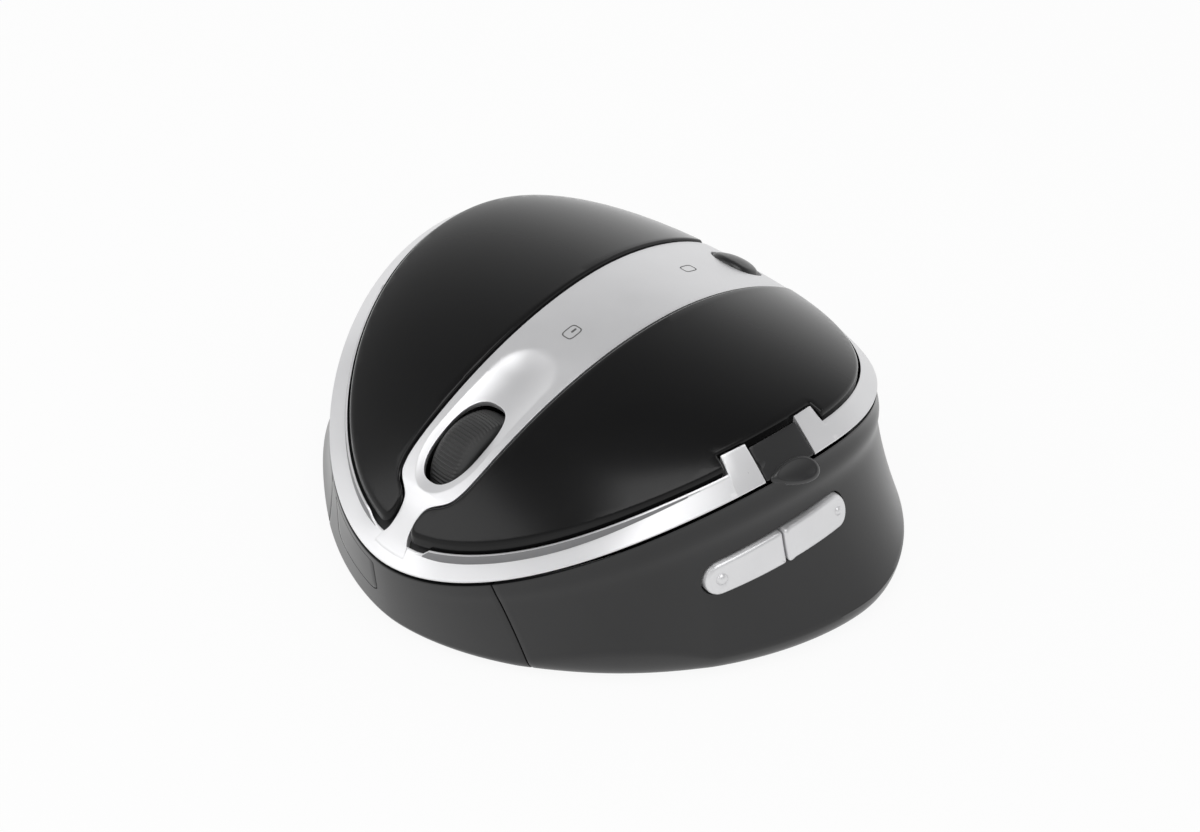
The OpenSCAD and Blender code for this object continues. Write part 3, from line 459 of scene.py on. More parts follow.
def slab(name, outline, thick, edge, step, segments=4):
    """A flat slab in millimetres: an outline extruded down, rounded at its top edge and cut into a net."""
    deselect()
    bpy.ops.mesh.primitive_circle_add(vertices=len(outline), fill_type="NGON", radius=10)
    o = made(name)
    for v, p in zip(o.data.vertices, outline):
        v.co = (p[0], p[1], 0)
    edit(o)
    bpy.ops.mesh.select_mode(type="FACE")
    bpy.ops.mesh.select_all(action="SELECT")
    bpy.ops.mesh.extrude_region_move(TRANSFORM_OT_translate={"value": (0, 0, -thick)})
    bpy.ops.mesh.select_all(action="SELECT")
    bpy.ops.mesh.normals_make_consistent(inside=False)
    leave_edit()
    top = max(o.data.polygons, key=lambda f: f.center.z)
    for f in o.data.polygons:
        f.select = f.index == top.index
    bpy.ops.object.mode_set(mode="EDIT")
    bpy.ops.mesh.region_to_loop()
    bpy.ops.mesh.bevel(offset=edge, segments=segments, profile=0.5, affect="EDGES", clamp_overlap=False)
    off_points = 0.0037
    for axis in (0, 1):
        low = min(p[axis] for p in outline)
        high = max(p[axis] for p in outline)
        count = max(1, round((high - low) / step))
        for cut in steps(low, high, count)[1:-1]:
            at = [0, 0, 0]
            way = [0, 0, 0]
            at[axis] = cut + off_points
            way[axis] = 1
            bpy.ops.mesh.select_all(action="SELECT")
            bpy.ops.mesh.bisect(plane_co=at, plane_no=way)
    bpy.ops.mesh.select_all(action="SELECT")
    bpy.ops.mesh.remove_doubles(threshold=0.01)
    leave_edit()
    return o


def along(run, s):
    """The point of a run at a length from its start."""
    for p, q in zip(run, run[1:]):
        d = math.dist(p, q)
        if s <= d + 1e-9:
            t = s / d if d else 0
            return p[0] + (q[0] - p[0]) * t, p[1] + (q[1] - p[1]) * t
        s -= d
    return run[-1]


def trimmed(run, start, end):
    """The run without its first and last lengths."""
    marks = [0]
    for p, q in zip(run, run[1:]):
        marks.append(marks[-1] + math.dist(p, q))
    stop, closest = marks[-1] - end, 0.05
    kept = [m for m in marks if start + closest < m < stop - closest]
    return [along(run, s) for s in [start] + kept + [stop]]


def rounded(corners):
    """A closed outline from runs of points; the corner after each run gets the radius beside it."""
    sides = [trimmed(run, corners[i - 1][1], radius) for i, (run, radius) in enumerate(corners)]
    out = []
    for i, (run, radius) in enumerate(corners):
        out += sides[i]
        if radius > 0:
            a, b, c = sides[i][-1], run[-1], sides[(i + 1) % len(sides)][0]
            for t in steps(0, 1, 6)[1:-1]:
                out.append(((1 - t) ** 2 * a[0] + 2 * t * (1 - t) * b[0] + t * t * c[0],
                            (1 - t) ** 2 * a[1] + 2 * t * (1 - t) * b[1] + t * t * c[1]))
    closest = 0.02
    clean = [out[0]]
    for p in out[1:]:
        if math.dist(p, clean[-1]) > closest:
            clean.append(p)
    if math.dist(clean[0], clean[-1]) < closest:
        clean.pop()
    return clean


def mirrored(o, name):
    """A copy on the other side of the mouse, with its own mesh."""
    c = o.copy()
    c.data = o.data.copy()
    c.name = c.data.name = name
    bpy.context.scene.collection.objects.link(c)
    c.data.transform(Matrix.Scale(-1, 4, (1, 0, 0)))
    return flip(c)


def refined(source, name, edge):
    """A copy of a CAD node with its faces joined and its edges rounded."""
    o = nodes[source].copy()
    o.data = nodes[source].data.copy()
    o.parent = None
    for key in list(o.keys()):
        del o[key]
    o.name = o.data.name = name
    bpy.context.scene.collection.objects.link(o)
    edit(o)
    bpy.ops.mesh.remove_doubles(threshold=0.004 * MM)
    bpy.ops.mesh.dissolve_limited(angle_limit=math.radians(0.5))
    leave_edit()
    round_edges(o, edge, segments=2, degrees=30)
    return finish_with(smooth(o, 30), type="WEIGHTED_NORMAL", keep_sharp=True)


# Finishes

CLOUD_SCALE, CLOUD_DETAIL, GRIT_DETAIL, GRIT_DEPTH = 60, 4, 1, 0.02
NOISE_LOW, NOISE_HIGH, ROUGH_SPREAD, SHEEN_ROUGH = 0.3, 0.7, 0.07, 0.3


def node(tree, kind, **inputs):
    n = tree.nodes.new(kind)
    for key, value in inputs.items():
        n.inputs[key.replace("_", " ")].default_value = value
    return n


def speckle(tree, scale, detail):
    place = tree.nodes.new("ShaderNodeTexCoord")
    noise = node(tree, "ShaderNodeTexNoise", Scale=scale, Detail=detail)
    tree.links.new(place.outputs["Object"], noise.inputs["Vector"])
    return noise.outputs["Fac"]


def vary(tree, source, low, high, target):
    spread = node(tree, "ShaderNodeMapRange", From_Min=NOISE_LOW, From_Max=NOISE_HIGH,
                  To_Min=low, To_Max=high)
    tree.links.new(source, spread.inputs["Value"])
    tree.links.new(spread.outputs["Result"], target)


def tint(tree, source, first, second, target, start=NOISE_LOW, end=NOISE_HIGH):
    """A colour that goes from first to second while the source goes from start to end."""
    ramp = tree.nodes.new("ShaderNodeValToRGB")
    for element, place, colour in zip(ramp.color_ramp.elements, (start, end), (first, second)):
        element.position = place
        element.color = (*colour, 1)
    tree.links.new(source, ramp.inputs["Fac"])
    tree.links.new(ramp.outputs["Color"], target)


def grain(tree, bsdf, source, strength):
    bump = node(tree, "ShaderNodeBump", Strength=strength, Distance=GRIT_DEPTH * MM)
    tree.links.new(source, bump.inputs["Height"])
    tree.links.new(bump.outputs["Normal"], bsdf.inputs["Normal"])


def moulded(name, dark, light, rough, grain_scale, grain_strength, specular=0.5, metallic=0.0, sheen=0.0):
    """A moulded surface: two shades in soft clouds, a roughness that varies with them, and a fine grain."""
    m = bpy.data.materials.new(name)
    m.use_nodes = True
    tree = m.node_tree
    bsdf = tree.nodes["Principled BSDF"]
    bsdf.inputs["Base Color"].default_value = (*light, 1)
    bsdf.inputs["Roughness"].default_value = rough
    bsdf.inputs["Metallic"].default_value = metallic
    bsdf.inputs["Specular IOR Level"].default_value = specular
    bsdf.inputs["Sheen Weight"].default_value = sheen
    bsdf.inputs["Sheen Roughness"].default_value = SHEEN_ROUGH
    cloud = speckle(tree, CLOUD_SCALE, CLOUD_DETAIL)
    tint(tree, cloud, dark, light, bsdf.inputs["Base Color"])
    vary(tree, cloud, rough * (1 - ROUGH_SPREAD), rough * (1 + ROUGH_SPREAD), bsdf.inputs["Roughness"])
    grain(tree, bsdf, speckle(tree, grain_scale, GRIT_DETAIL), grain_strength)
    return m


def grey(level, blue=None):
    return level, level, blue or level


satin_black = moulded("satin_black", grey(0.002, 0.0022), grey(0.0027, 0.0029), 0.22, 3200, 0.1, 0.25,
                      sheen=0.8)
soft_grey = moulded("soft_grey", grey(0.008, 0.0085), grey(0.011, 0.0115), 0.34, 2600, 0.22, sheen=0.3)
silver_paint = moulded("silver_paint", grey(0.71, 0.72), grey(0.76, 0.77), 0.37, 5200, 0.10, metallic=0.6)
# A lighter copy of the base's soft grey for the catch: painted light, lightened to stand in for the light on
# the plate's face
catch_lightened_grey = moulded("catch_lightened_grey", grey(0.014, 0.0146), grey(0.018, 0.0186), 0.3, 2600, 0.18, 0.55, sheen=0.3)
# Darker grey for the trim's riser: painted shade standing for the shadow under the shells' edges, not a bare
# finish
riser_shade_grey = moulded("riser_shade_grey", grey(0.20, 0.205), grey(0.25, 0.255), 0.4, 3000, 0.15, 0.4, metallic=0.3)
inner_plastic = moulded("inner_plastic", grey(0.014, 0.015), grey(0.019, 0.020), 0.5, 1800, 0.25, 0.3)
wheel_rubber = moulded("wheel_rubber", grey(0.034), grey(0.042), 0.45, 2400, 0.3, 0.4, sheen=0.1)
plated_steel = moulded("plated_steel", grey(0.50, 0.52), grey(0.58, 0.60), 0.28, 900, 0.05, metallic=1.0)
glide_pad = moulded("glide_pad", grey(0.026, 0.027), grey(0.034, 0.035), 0.42, 1500, 0.12, 0.35)
black_plastic = moulded("black_plastic", grey(0.007), grey(0.010), 0.45, 2000, 0.2, 0.35)
board_green = moulded("board_green", (0.012, 0.07, 0.03), (0.02, 0.10, 0.045), 0.35, 700, 0.1)
ink_grey = moulded("ink_grey", grey(0.10), grey(0.13), 0.5, 1500, 0.05, 0.4)
clear_lens = moulded("clear_lens", (0.80, 0.84, 0.88), (0.86, 0.89, 0.92), 0.12, 500, 0.02)
clear_lens.node_tree.nodes["Principled BSDF"].inputs["Transmission Weight"].default_value = 0.8


def dress(o, material, body=None, replaced=()):
    o.data.materials.clear()
    o.data.materials.append(material)
    if body:
        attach(o, body)
    if replaced:
        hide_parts(*replaced)
    return o


# Click shells

def shell_outline(notched, front_corner):
    """The left shell's flat outline, with or without the notch for the ears."""
    edge = TRIM_WIDTH + SHELL_GAP

    def past_spine(angle):
        x, y = inset_point(angle, edge)
        return -x - spine_clear(y, SHELL_GAP)

    first = solve(past_spine, math.radians(91), math.radians(105))
    last = solve(past_spine, math.radians(268), math.radians(240))
    back_y, front_y = inset_point(last, edge)[1], inset_point(first, edge)[1]
    side = [(-spine_clear(y, SHELL_GAP), y) for y in closing_steps(back_y, front_y, 150)]
    if not notched:
        return rounded([(inset_run(first, last, edge, 240), SHELL_REAR_CORNER), (side, front_corner)])
    ear_front, ear_rear = rim_angle(EAR_FRONT + SHELL_GAP), rim_angle(EAR_REAR - SHELL_GAP)
    deep = EAR_REACH + SHELL_GAP
    return rounded([
        (inset_run(first, ear_front, edge, 90), EAR_OUTER_CORNER),
        ([inset_point(ear_front, edge), inset_point(ear_front, deep)], EAR_INNER_CORNER),
        (inset_run(ear_front, ear_rear, deep, 36), EAR_INNER_CORNER),
        ([inset_point(ear_rear, deep), inset_point(ear_rear, edge)], EAR_OUTER_CORNER),
        (inset_run(ear_rear, last, edge, 110), SHELL_REAR_CORNER),
        (side, front_corner),
    ])


def on_dome(x, y, z):
    return x, y, dome_z(x, y) + z


left_outline = shell_outline(True, LEFT_FRONT_CORNER)
left_shell = slab("left_click_shell", left_outline, LEFT_SHELL_THICK, SHELL_EDGE, SHELL_NET)
shape(left_shell, on_dome)
smooth(tidy(left_shell), 40)
right_outline = shell_outline(False, RIGHT_FRONT_CORNER)
right_shell = slab("right_click_shell", right_outline, RIGHT_SHELL_THICK, SHELL_EDGE, SHELL_NET)
shape(right_shell, lambda x, y, z: on_dome(-x, y, z))
smooth(tidy(right_shell), 40)
dress(left_shell, satin_black, "left_button", ["left_shell"])
dress(right_shell, satin_black, "right_button", ["right_shell"])


# Silver trim ring: one band round the top, from one ear of the catch opening to the other

# Depths of the section's points: from the rim on its rounded edge, and before its inner edge at the riser
EDGE_DEPTHS, FLAT_START, FLAT_END = [0, 0.06, 0.16, 0.3, 0.5, 0.8, 1.2], 1.7, 0.7
RISER_DEPTHS = (0.58, 0.52)
# The lip's points: a depth before the inner edge, a share of the lip's height and a fall
LIP_POINTS = ((0.49, 0.85, 0), (0.42, 1, 0), (0.18, 1, 0.02), (0.05, 1, 0.09), (0, 1, 0.22))


def ring_section(place, slope, band, sink, swell=0, dip=0, dip_from=0):
    """The band's closed section; place gives x and y at a depth from the rim."""
    def face(d):
        x, y = place(d)
        bulge = swell * math.sin(math.pi * d / band) - dip * fade(d, dip_from, dip_from + 0.3)
        return x, y, rim_z(y) + TRIM_EDGE + slope * d + bulge

    depths = EDGE_DEPTHS + steps(FLAT_START, band - FLAT_END, 3) + [band - d for d in RISER_DEPTHS]
    out = [face(d) for d in depths]
    x, y = place(band)
    lip = (trim_z(x, y) - band_z(x, y)) * fade(abs(x), *LIP_RISE)
    for d, share, fall in LIP_POINTS:
        x, y, z = face(band - d)
        out.append((x, y, z + share * lip - fall))
    under = ((band, 0.2), (TRIM_SHELF, 0.2), (TRIM_SHELF, -sink), (1.9, -sink), (1.5, 0), (0.1, 0), (0, 0.1))
    for d, height in under:
        x, y = place(d)
        out.append((x, y, rim_z(y) + height))
    return out


def window_y(y, depth):
    """The catch opening's sides lean a little, square to the rim."""
    return y + 0.5 - 0.155 * depth


def ear_sections(outer, window, y_window):
    """Sections of an ear, from its outer end to the side of the catch opening, with rounded ends."""
    out = []
    middle = [(t, 0, 0) for t in (0.025, 0.2, 0.4, 0.6, 0.8, 0.975)]
    for t, dip, dip_from in [(0, 0.14, 3.6), (0.008, 0.05, 3.6)] + middle + [(0.992, 0.05, 0), (1, 0.14, 0)]:
        angle = outer + (window - outer) * t

        def place(d):
            x, y = inset_point(angle, d)
            side_y = window_y(y_window, d)
            return x + (-half_width(side_y, d) - x) * t, y + (side_y - y) * t

        slope = face_slope(*inset_point(angle, TRIM_WIDTH))
        out.append(ring_section(place, slope, EAR_REACH, EAR_SINK, EAR_SWELL, dip, dip_from))
    return out


def band_sections(start, end):
    out = []
    for angle in steps(start, end, 250):
        slope = face_slope(*inset_point(angle, TRIM_WIDTH))
        out.append(ring_section(lambda d: inset_point(angle, d), slope, TRIM_WIDTH, BAND_SINK))
    return out


def ear_bridge():
    """A bar under the catch that joins the two ears."""
    deselect()
    bpy.ops.mesh.primitive_cube_add(size=1)
    o = made("ear_bridge")
    round_edges(o, 60, 2)
    wide, long, high = 1.7, 12.6, 0.9
    shape(o, lambda x, y, z: (-41.5 + wide * x, CATCH_MIDDLE + long * y, 35.85 + high * z))
    return o


def paint_hidden_and_riser_shade(o):
    """Gives the trim's hidden faces dark plastic, and the riser of its step a darker grey: painted shade,
    where the step lies under the shells' edges.
    """
    o.data.materials.append(inner_plastic)
    o.data.materials.append(riser_shade_grey)
    for f in o.data.polygons:
        x, y, z = f.center.x / MM, f.center.y / MM + AHEAD, f.center.z / MM
        outward = (f.normal.x * x + f.normal.y * y) / math.hypot(x, y)
        depth = rim_radius(math.atan2(y, x)) - math.hypot(x, y)
        height = z - rim_z(y)
        underside = depth > 0.4 and height < 0.35
        inner_wall = depth > 2.9 and outward < -0.7
        # Riser faces tall enough to show get the darker grey of painted shade
        riser = abs(x) > 6 and depth > 2.4 and outward > 0.6 and height > 0.6 + 3.2 * face_slope(x, y)
        if underside or inner_wall:
            f.material_index = 1
        elif riser:
            f.material_index = 2


full_turn, ear_step = 2 * math.pi, 0.0006
front_ear, rear_ear = rim_angle(EAR_FRONT), rim_angle(EAR_REAR) - full_turn
sections = ear_sections(front_ear, rim_angle(CATCH_FRONT), CATCH_FRONT)[::-1]
sections += band_sections(front_ear - ear_step, rear_ear + ear_step)
sections += ear_sections(rear_ear, rim_angle(CATCH_REAR) - full_turn, CATCH_REAR)
trim = joined([strip("trim_band", sections), ear_bridge()])
smooth(trim)
dress(trim, silver_paint, "upper", ["trim_ring"])
paint_hidden_and_riser_shade(trim)


# Silver spine

KEY_TILT = dome_tilt(REAR_KEY_Y)
ACROSS, BESIDE = 24, 44
REAR_START, SURROUND_START = -23.0, 27.0
REAR_INSET = TRIM_WIDTH + SPINE_GAP


def slot_point(x, y):
    px, py = oval(x, y - WHEEL_Y, SLOT_WIDE, SLOT_LONG, SLOT_POWER)
    return px, py + WHEEL_Y


def key_hole_point(x, y):
    wide = REAR_KEY_WIDE + REAR_KEY_SIDE_GAP
    long = (REAR_KEY_LONG + REAR_KEY_END_GAP) * math.cos(KEY_TILT)
    px, py = oval(x, y - REAR_KEY_Y, wide, long, REAR_KEY_POWER)
    return px, py + REAR_KEY_Y


def spine_border(back, ahead, rear_end):
    """The border of a stretch of the spine, from its rear left corner round to the start."""
    wide = spine_edge(back)
    across = steps(-wide, wide, ACROSS)[:-1]
    pts = [(x, end_y(x, False, REAR_INSET) if rear_end else back) for x in across]
    if rear_end:
        back = end_y(wide, False, REAR_INSET)
    ys = closing_steps(back, ahead, BESIDE)
    pts += [(spine_edge(y), y) for y in ys[:-1]]
    wide = spine_edge(ahead)
    pts += [(x, ahead) for x in steps(wide, -wide, ACROSS)[:-1]]
    return pts + [(-spine_edge(y), y) for y in reversed(ys[1:])]


def surround(name, hole, border, rows):
    """A sheet between an opening and the border round it."""
    outer = border + [border[0]]
    inner = [hole(x, y) for x, y in outer]
    n = len(border)

    def place(u, v):
        (ax, ay), (bx, by) = inner[round(u * n)], outer[round(u * n)]
        x, y = ax + (bx - ax) * v, ay + (by - ay) * v
        return x, y, spine_z(x, y)

    return sheet(name, n, rows, place)


def spine_middle(u, v):
    y = REAR_START + (SURROUND_START - REAR_START) * v
    x = spine_edge(y) * (2 * u - 1)
    return x, y, spine_z(x, y)


def neck_edge(y):
    """The neck's half width, with a fillet where it runs into the band."""
    t = min(1, max(0, (y - FILLET_Y) / FILLET_LONG))
    return spine_edge(y) + FILLET_WIDE * (1 - math.sqrt(1 - t * t))


def spine_neck(u, v):
    x = neck_edge(NECK_Y + 7.0 * v) * (2 * u - 1)
    y = NECK_Y + (end_y(x, True, NECK_INSET) - NECK_Y) * v
    return x, y, spine_z(x, y)


rear_border = spine_border(end_y(0, False, REAR_INSET), REAR_START, True)
wheel_border = spine_border(SURROUND_START, NECK_Y, False)
spine = joined([
    sheet("spine_band", ACROSS, 64, spine_middle),
    surround("key_surround", key_hole_point, rear_border, 12),
    surround("wheel_surround", slot_point, wheel_border, 22),
    sheet("spine_neck", ACROSS, 24, spine_neck)])
tidy(spine, 0.03)
if spine.data.polygons[0].normal.z < 0:
    flip(spine)
finish_with(spine, type="SOLIDIFY", thickness=SPINE_THICK * MM, offset=-1)
round_edges(spine, 0.25, segments=3, degrees=50)
smooth(spine)
dress(spine, silver_paint, "upper", ["spine"])


def on_rear_key(x, y, z):
    c, s = math.cos(KEY_TILT), math.sin(KEY_TILT)
    z += REAR_KEY_PROUD - REAR_KEY_DOME + math.sqrt(REAR_KEY_DOME ** 2 - x * x - y * y)
    return x, REAR_KEY_Y + y * c - z * s, dome_z(0, REAR_KEY_Y) + y * s + z * c


knob_outline = [oval(math.cos(t), math.sin(t), REAR_KEY_WIDE, REAR_KEY_LONG, REAR_KEY_POWER)
                for t in turns(64)]
rear_key = slab("rear_knob", knob_outline, thick=3.2, edge=1.0, step=0.8, segments=6)
shape(rear_key, on_rear_key)
smooth(tidy(rear_key), 45)
dress(rear_key, soft_grey, "rear_button", ["rear_key"])


def status_mark(name, middle, wide, long):
    """A thin oblong outline printed on the spine, for a status light."""
    sections = []
    for t in turns(72):
        section = []
        for grow, lift in ((MARK_HALF, MARK_LIFT), (MARK_HALF, -MARK_SINK),
                           (-MARK_HALF, -MARK_SINK), (-MARK_HALF, MARK_LIFT)):
            x, y = oval(math.cos(t), math.sin(t), wide + grow, long + grow, MARK_POWER)
            section.append((x, middle + y, spine_z(x, middle + y) + lift))
        sections.append(section)
    o = smooth(ring(name, sections), 30)
    return dress(o, ink_grey, "upper")


status_mark("battery_mark", 15.5, 1.2, 1.7)
status_mark("battery_level_mark", 15.0, 0.1, 0.55)
status_mark("link_mark", -17.2, 1.1, 1.5)


# Soft-touch base

def wall_section(start, start_lean, end, end_lean, u):
    """The closed section of a wall at a share u of its run, from its outer face round to its inner face."""
    def angle(v):
        low, high = start + start_lean * v, end + end_lean * v
        return low + (high - low) * u

    edge = ledge(angle(0.85))
    out = [wall_point(angle(v), v) for v in steps(0, edge, 40) + closing_steps(edge, 1, 10)[1:]]
    for v in (1, 0.94, 0.8, 0.6, 0.4, 0.25, 0.13, 0.05, 0):
        x, y, z = wall_point(angle(v), v, -WALL_THICK)
        out.append((x, y, z - 4.0 * (1 - v) ** 3 * math.cos(angle(v)) ** 2))
    return out


def skin(name, start, start_lean, end, end_lean, columns):
    """A wall of the base between two angles in degrees, whose ends lean by so many more at the foot."""
    ends = [math.radians(degrees) for degrees in (start, start_lean, end, end_lean)]
    o = strip(name, [wall_section(*ends, u) for u in steps(0, 1, columns)])
    return round_edges(o, WALL_EDGE, segments=2, degrees=50)


def key_place(rear, x, y, lift):
    """A point of a side key by its flat outline's x and y, lifted off the flank."""
    start, end = REAR_KEY_ENDS if rear else FRONT_KEY_ENDS
    share = 1 - x / KEY_LONG if rear else x / KEY_LONG
    degrees = start + (end - start) * share
    middle = KEY_MIDDLE - (degrees - KEY_MIDDLE_ANGLE) * KEY_CLIMB
    px, py, pz = wall_point(math.radians(degrees), middle + y / KEY_HALF * KEY_SHARE)
    way = math.radians(KEY_PRESS)
    return px - math.cos(way) * lift, py + math.sin(way) * lift, pz


def key_outline(grow):
    """A side key's flat outline: round at its outer end, square with small corners at the joint."""
    h = KEY_HALF + grow
    left, right = -grow, KEY_LONG + grow
    r = h * 0.97
    outer = [(left + r - r * math.sin(t), h * math.cos(t)) for t in steps(0, math.pi, 24)]
    low = [(x, -h) for x in steps(left + r, right, 20)]
    end = [(right, -h), (right, -h / 2), (right, h / 2), (right, h)]
    high = [(x, h) for x in steps(right, left + r, 20)]
    return rounded([(outer + low[1:], 0.7), (end, 0.7), (high, 0)])


def key_piece(rear, name):
    """A side key with its raised dot, and a small lip at the rear key's end."""
    o = slab(name, key_outline(0), thick=3.7, edge=0.65, step=0.6, segments=5)
    front_dot, rear_dot = (FRONT_DOT_PLACE, FRONT_DOT_RADIUS), (REAR_DOT_PLACE, REAR_DOT_RADIUS)
    spot, radius = rear_dot if rear else front_dot

    def on_flank(x, y, z):
        lip = KEY_LIP * fade(x, KEY_LONG - 1.9, KEY_LONG - 0.8) if rear else 0
        return key_place(rear, x, y, KEY_PROUD + z + lip)

    shape(o, on_flank)
    tidy(o)
    deselect()
    bpy.ops.mesh.primitive_uv_sphere_add(segments=40, ring_count=24, radius=1.15 * radius)
    dot = made("key_dot")
    mx, my, mz = on_flank(spot, 0, -0.45 * radius)
    shape(dot, lambda x, y, z: (mx + x, my + y, mz + z))
    return smooth(joined([o, dot]), 40)


def key_cutter(rear):
    o = slab("key_opening", key_outline(KEY_GAP), thick=CUT_DEEP, edge=0.05, step=2.0, segments=1)
    shape(o, lambda x, y, z: key_place(rear, x, y, CUT_DEEP / 2 + z))
    return tidy(o)


left_skin = skin("left_flank", SEAM_ANGLE + SEAM_HALF_GAP, SEAM_LEAN, 270 - SEAM_HALF_GAP, 0, 150)
right_skin = smooth(mirrored(left_skin, "right_flank"))
for rear in (False, True):
    cut_with(left_skin, key_cutter(rear))
smooth(left_skin)
dress(left_skin, soft_grey, "base", ["base_left"])
dress(right_skin, soft_grey, "base", ["base_right"])

for rear, part in ((False, "front"), (True, "rear")):
    key = key_piece(rear, "%s_side_key" % part)
    dress(key, silver_paint, "%s_thumb_button" % part, ["%s_thumb_key" % part])


def panel_outline(grow):
    long, high = PANEL_HALF_LONG + grow, PANEL_HALF_HIGH + grow
    top = [(x, high) for x in steps(long, -long, 30)]
    left = [(-long, y) for y in steps(high, -high, 16)]
    low = [(x, -high) for x in steps(-long, long, 30)]
    right = [(long, y) for y in steps(-high, high, 16)]
    return rounded([(top, 0.8), (left, 3.0), (low, 3.0), (right, 0.8)])


def on_front(x, y, z):
    angle = math.radians(PANEL_ANGLE - PANEL_SPREAD * x / PANEL_HALF_LONG)
    return wall_point(angle, PANEL_MIDDLE - PANEL_SHARE * y / PANEL_HALF_HIGH, z)


front_skin = skin("front_wall", 180 - SEAM_ANGLE, -SEAM_LEAN, SEAM_ANGLE, SEAM_LEAN, 44)
panel = slab("front_panel", panel_outline(0), thick=1.8, edge=0.18, step=1.5, segments=2)
shape(panel, on_front)
smooth(tidy(panel))
opening = slab("panel_opening", panel_outline(PANEL_GAP), thick=CUT_DEEP, edge=0.05, step=1.5, segments=1)
shape(opening, lambda x, y, z: on_front(x, y, CUT_DEEP / 2 + z))
cut_with(front_skin, tidy(opening))
smooth(front_skin)
dress(front_skin, soft_grey, "base", ["base_front"])
dress(panel, soft_grey, "base", ["front_flap"])


# Scroll wheel

WHEEL_TILT = -dome_tilt(WHEEL_Y)
AXLE_Y = WHEEL_Y - math.sin(WHEEL_TILT) * (WHEEL_RADIUS - WHEEL_PROUD)
AXLE_Z = dome_z(0, WHEEL_Y) - WHEEL_SINK - math.cos(WHEEL_TILT) * (WHEEL_RADIUS - WHEEL_PROUD)


def tyre_section(angle, lift):
    """The tyre's closed section, as places across it and radii, with its tread raised by lift."""
    half = WHEEL_WIDTH / 2
    r = WHEEL_RADIUS - TREAD_DROP
    profile = [(-half, r - 2.4), (-half, r - 1.9), (-half + 0.12, r - 1.45), (-half + 0.35, r - 1.0),
               (-half + 0.7, r - 0.62), (-3.0, r - 0.36)]
    profile += [(x, r - fall + lift) for x, fall in ((-2.85, 0.32), (-2.2, 0.17), (-1.3, 0.05), (-0.4, 0))]
    profile += [(-x, q) for x, q in reversed(profile)]
    return [(x, AXLE_Y + q * math.cos(angle), AXLE_Z + q * math.sin(angle)) for x, q in profile]


rib = (RIB_LIFT, RIB_LIFT, 0, 0)
tyre = ring("ribbed_tyre", [tyre_section(t, rib[i % 4]) for i, t in enumerate(turns(TYRE_RIBS * 4))])
smooth(tyre, 45)
dress(tyre, wheel_rubber, "wheel", ["wheel_tyre"])


# Catch: a plate between the ears, its dished nub and its knuckle

def catch_outline():
    half = (CATCH_FRONT - CATCH_REAR) / 2 - CATCH_GAP
    corners = [(half, 0.05), (half, CATCH_REACH), (-half, CATCH_REACH), (-half, 0.05)]
    sides = []
    for (ax, ay), (bx, by) in zip(corners, corners[1:] + corners[:1]):
        sides.append((list(zip(steps(ax, bx, 12), steps(ay, by, 12))), CATCH_CORNER))
    return rounded(sides)


def on_catch(x, depth, z):
    y = window_y(CATCH_MIDDLE + x, depth)
    rim = rim_z(y)
    top = rim + TRIM_EDGE + face_slope(-half_width(y, TRIM_WIDTH), y) * depth
    low = rim + 0.25 + 0.95 * fade(depth, 3, 5)
    return -half_width(y, 0) + depth, y, top + z / 2 * (top - low)


def on_nub(x, y, z):
    """A ball made a dished tab along the plate's lower edge, fuller at its rear end."""
    spread = x * x + y * y
    px, py, pz = x * (NUB_DEEP - 0.8 * y) - 1.0 + 0.8 * y, NUB_LONG * y, NUB_HIGH * z
    if z > 0:
        dish = 0.25 + 0.85 * spread
        pz = (pz + dish - math.sqrt((pz - dish) ** 2 + 0.004)) / 2
    lean = math.radians(NUB_LEAN)
    c, s = math.cos(lean), math.sin(lean)
    py += CATCH_MIDDLE + NUB_AHEAD
    rim = rim_z(py)
    px, pz = -half_width(py, 0) + c * px - s * pz, rim + 0.3 + s * px + c * pz
    return px, py, max(pz, rim - 0.25) if px > -RIM_WIDE - 0.25 else pz


def knuckle_section(angle):
    rear, front = CATCH_REAR + CATCH_GAP, CATCH_FRONT - CATCH_GAP
    corners = ((KNUCKLE_RADIUS, rear), (KNUCKLE_RADIUS, front), (KNUCKLE_BORE, front), (KNUCKLE_BORE, rear))
    return [(-CATCH_X + r * math.cos(angle), y, CATCH_Z + r * math.sin(angle)) for r, y in corners]


plate = slab("catch_lever", catch_outline(), thick=2.0, edge=0.25, step=0.8, segments=3)
shape(plate, on_catch)
tidy(plate)
deselect()
bpy.ops.mesh.primitive_uv_sphere_add(segments=72, ring_count=48, radius=1)
nub = made("catch_nub")
shape(nub, on_nub)
tidy(nub)
catch = joined([plate, nub, ring("catch_knuckle", [knuckle_section(t) for t in turns(48)])])
smooth(catch, 40)
# The catch's grey is lightened to paint light on its plate
dress(catch, catch_lightened_grey, "latch", ["thumb_catch"])

# Underside, and the pieces taken over from the CAD model

for name, source, body, material, slot, edge in (
        ("foot_plate", "bottom_plate", "base", inner_plastic, "inner_plastic", 0.25),
        ("battery_door", "battery_hatch", "hatch", inner_plastic, "inner_plastic", 0.2),
        ("glide_pads", "glide_feet", "base", glide_pad, "glide", 0.2)):
    dress(refined(source, name, edge), material, body, [source])

for material, sources in (
        (inner_plastic, ("base_deck", "battery_cradle", "upper_tray", "wheel_carrier")),
        (plated_steel, ("base_screws", "battery_cells", "hinge_leaf", "hinge_pins", "tray_screws",
                        "wheel_axle")),
        (black_plastic, ("sensor_chip", "power_slider", "click_switches", "wheel_hub")),
        (board_green, ("main_board",)),
        (clear_lens, ("sensor_lens",))):
    for source in sources:
        dress(nodes[source], material)


# Studio

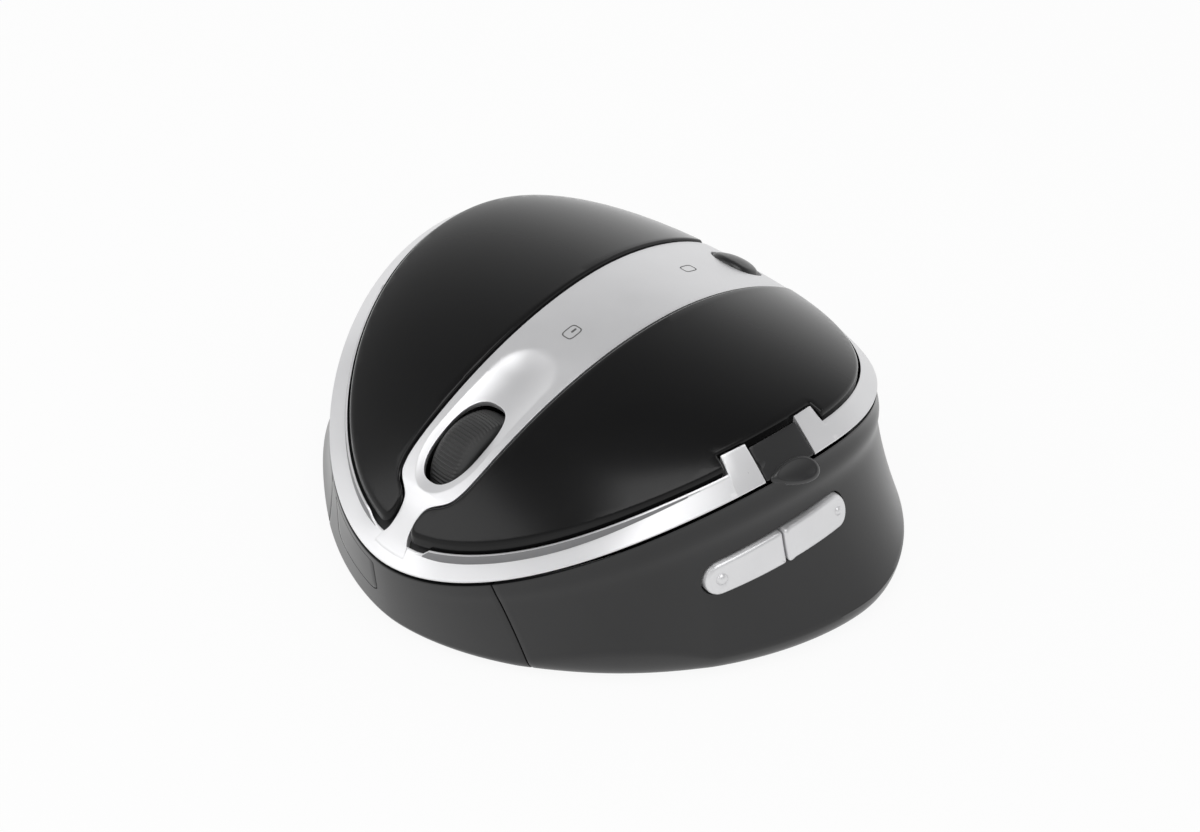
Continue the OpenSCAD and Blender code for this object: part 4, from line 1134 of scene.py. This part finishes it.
def studio_floor():
    """A pale floor that looks evenly lit to the camera and in reflections."""
    deselect()
    bpy.ops.mesh.primitive_plane_add(size=8, location=(0, 0, 0))
    floor = made("studio_floor")
    m = bpy.data.materials.new("studio_white")
    m.use_nodes = True
    tree = m.node_tree
    tree.nodes.clear()
    out = tree.nodes.new("ShaderNodeOutputMaterial")
    paper = node(tree, "ShaderNodeBsdfDiffuse", Color=(0.88, 0.88, 0.88, 1))
    glow = node(tree, "ShaderNodeEmission", Color=(1, 1, 1, 1), Strength=1.0)
    path = tree.nodes.new("ShaderNodeLightPath")
    seen = path.outputs["Is Camera Ray"]
    for kind in ("Is Glossy Ray", "Is Transmission Ray"):
        both = tree.nodes.new("ShaderNodeMath")
        both.operation = "MAXIMUM"
        tree.links.new(seen, both.inputs[0])
        tree.links.new(path.outputs[kind], both.inputs[1])
        seen = both.outputs[0]
    share = tree.nodes.new("ShaderNodeMath")
    share.operation = "MULTIPLY"
    share.inputs[1].default_value = 0.92
    mix = tree.nodes.new("ShaderNodeMixShader")
    tree.links.new(seen, share.inputs[0])
    tree.links.new(share.outputs[0], mix.inputs["Fac"])
    tree.links.new(paper.outputs[0], mix.inputs[1])
    tree.links.new(glow.outputs[0], mix.inputs[2])
    tree.links.new(mix.outputs[0], out.inputs["Surface"])
    floor.data.materials.append(m)


def studio_world():
    """Soft light all round, white at the horizon and grey overhead."""
    world = bpy.data.worlds.new("studio")
    bpy.context.scene.world = world
    world.use_nodes = True
    tree = world.node_tree
    tree.nodes.clear()
    out = tree.nodes.new("ShaderNodeOutputWorld")
    soft = node(tree, "ShaderNodeBackground", Strength=1.0)
    place = tree.nodes.new("ShaderNodeTexCoord")
    split = tree.nodes.new("ShaderNodeSeparateXYZ")
    tree.links.new(place.outputs["Generated"], split.inputs[0])
    tint(tree, split.outputs["Z"], grey(1), grey(0.25, 0.252), soft.inputs["Color"], 0.25, 0.88)
    tree.links.new(soft.outputs[0], out.inputs["Surface"])


def softbox(name, place, size, watts):
    aim = Vector((0, 0, 0.02))
    lamp = bpy.data.lights.new(name, "AREA")
    lamp.shape = "RECTANGLE"
    lamp.size, lamp.size_y = size, size
    lamp.energy = watts
    o = bpy.data.objects.new(name, lamp)
    o.location = place
    o.rotation_euler = (aim - Vector(place)).to_track_quat("-Z", "Y").to_euler()
    bpy.context.scene.collection.objects.link(o)


def camera():
    """The camera that was fitted to the photo."""
    turn, rise, roll = math.radians(222.267), math.radians(39.446), math.radians(1.812)
    aim, away = Vector((0.669, -2.986, 17.353)) * MM, 453.6 * MM
    focal_pixels, photo_pixels, sensor = 2317.3, 1200, 36
    back = Vector((math.sin(turn) * math.cos(rise), -math.cos(turn) * math.cos(rise), math.sin(rise)))
    level = Vector((math.cos(turn), math.sin(turn), 0))
    upright = back.cross(level)
    right = level * math.cos(roll) + upright * math.sin(roll)
    up = upright * math.cos(roll) - level * math.sin(roll)
    cam = bpy.data.objects.new("camera", bpy.data.cameras.new("camera"))
    cam.data.lens = focal_pixels / photo_pixels * sensor
    cam.data.sensor_width = sensor
    cam.data.clip_start = 0.01
    turned = Matrix((right, up, back)).transposed().to_4x4()
    cam.matrix_world = Matrix.Translation(aim + back * away) @ turned
    bpy.context.scene.collection.objects.link(cam)
    bpy.context.scene.camera = cam


studio_floor()
studio_world()
softbox("top_softbox", (-0.12, 0.12, 0.8), 0.5, 2.2)
softbox("front_softbox", (0.36, 0.5, 0.58), 0.4, 1.0)
camera()
bpy.context.scene.view_settings.view_transform = "Standard"
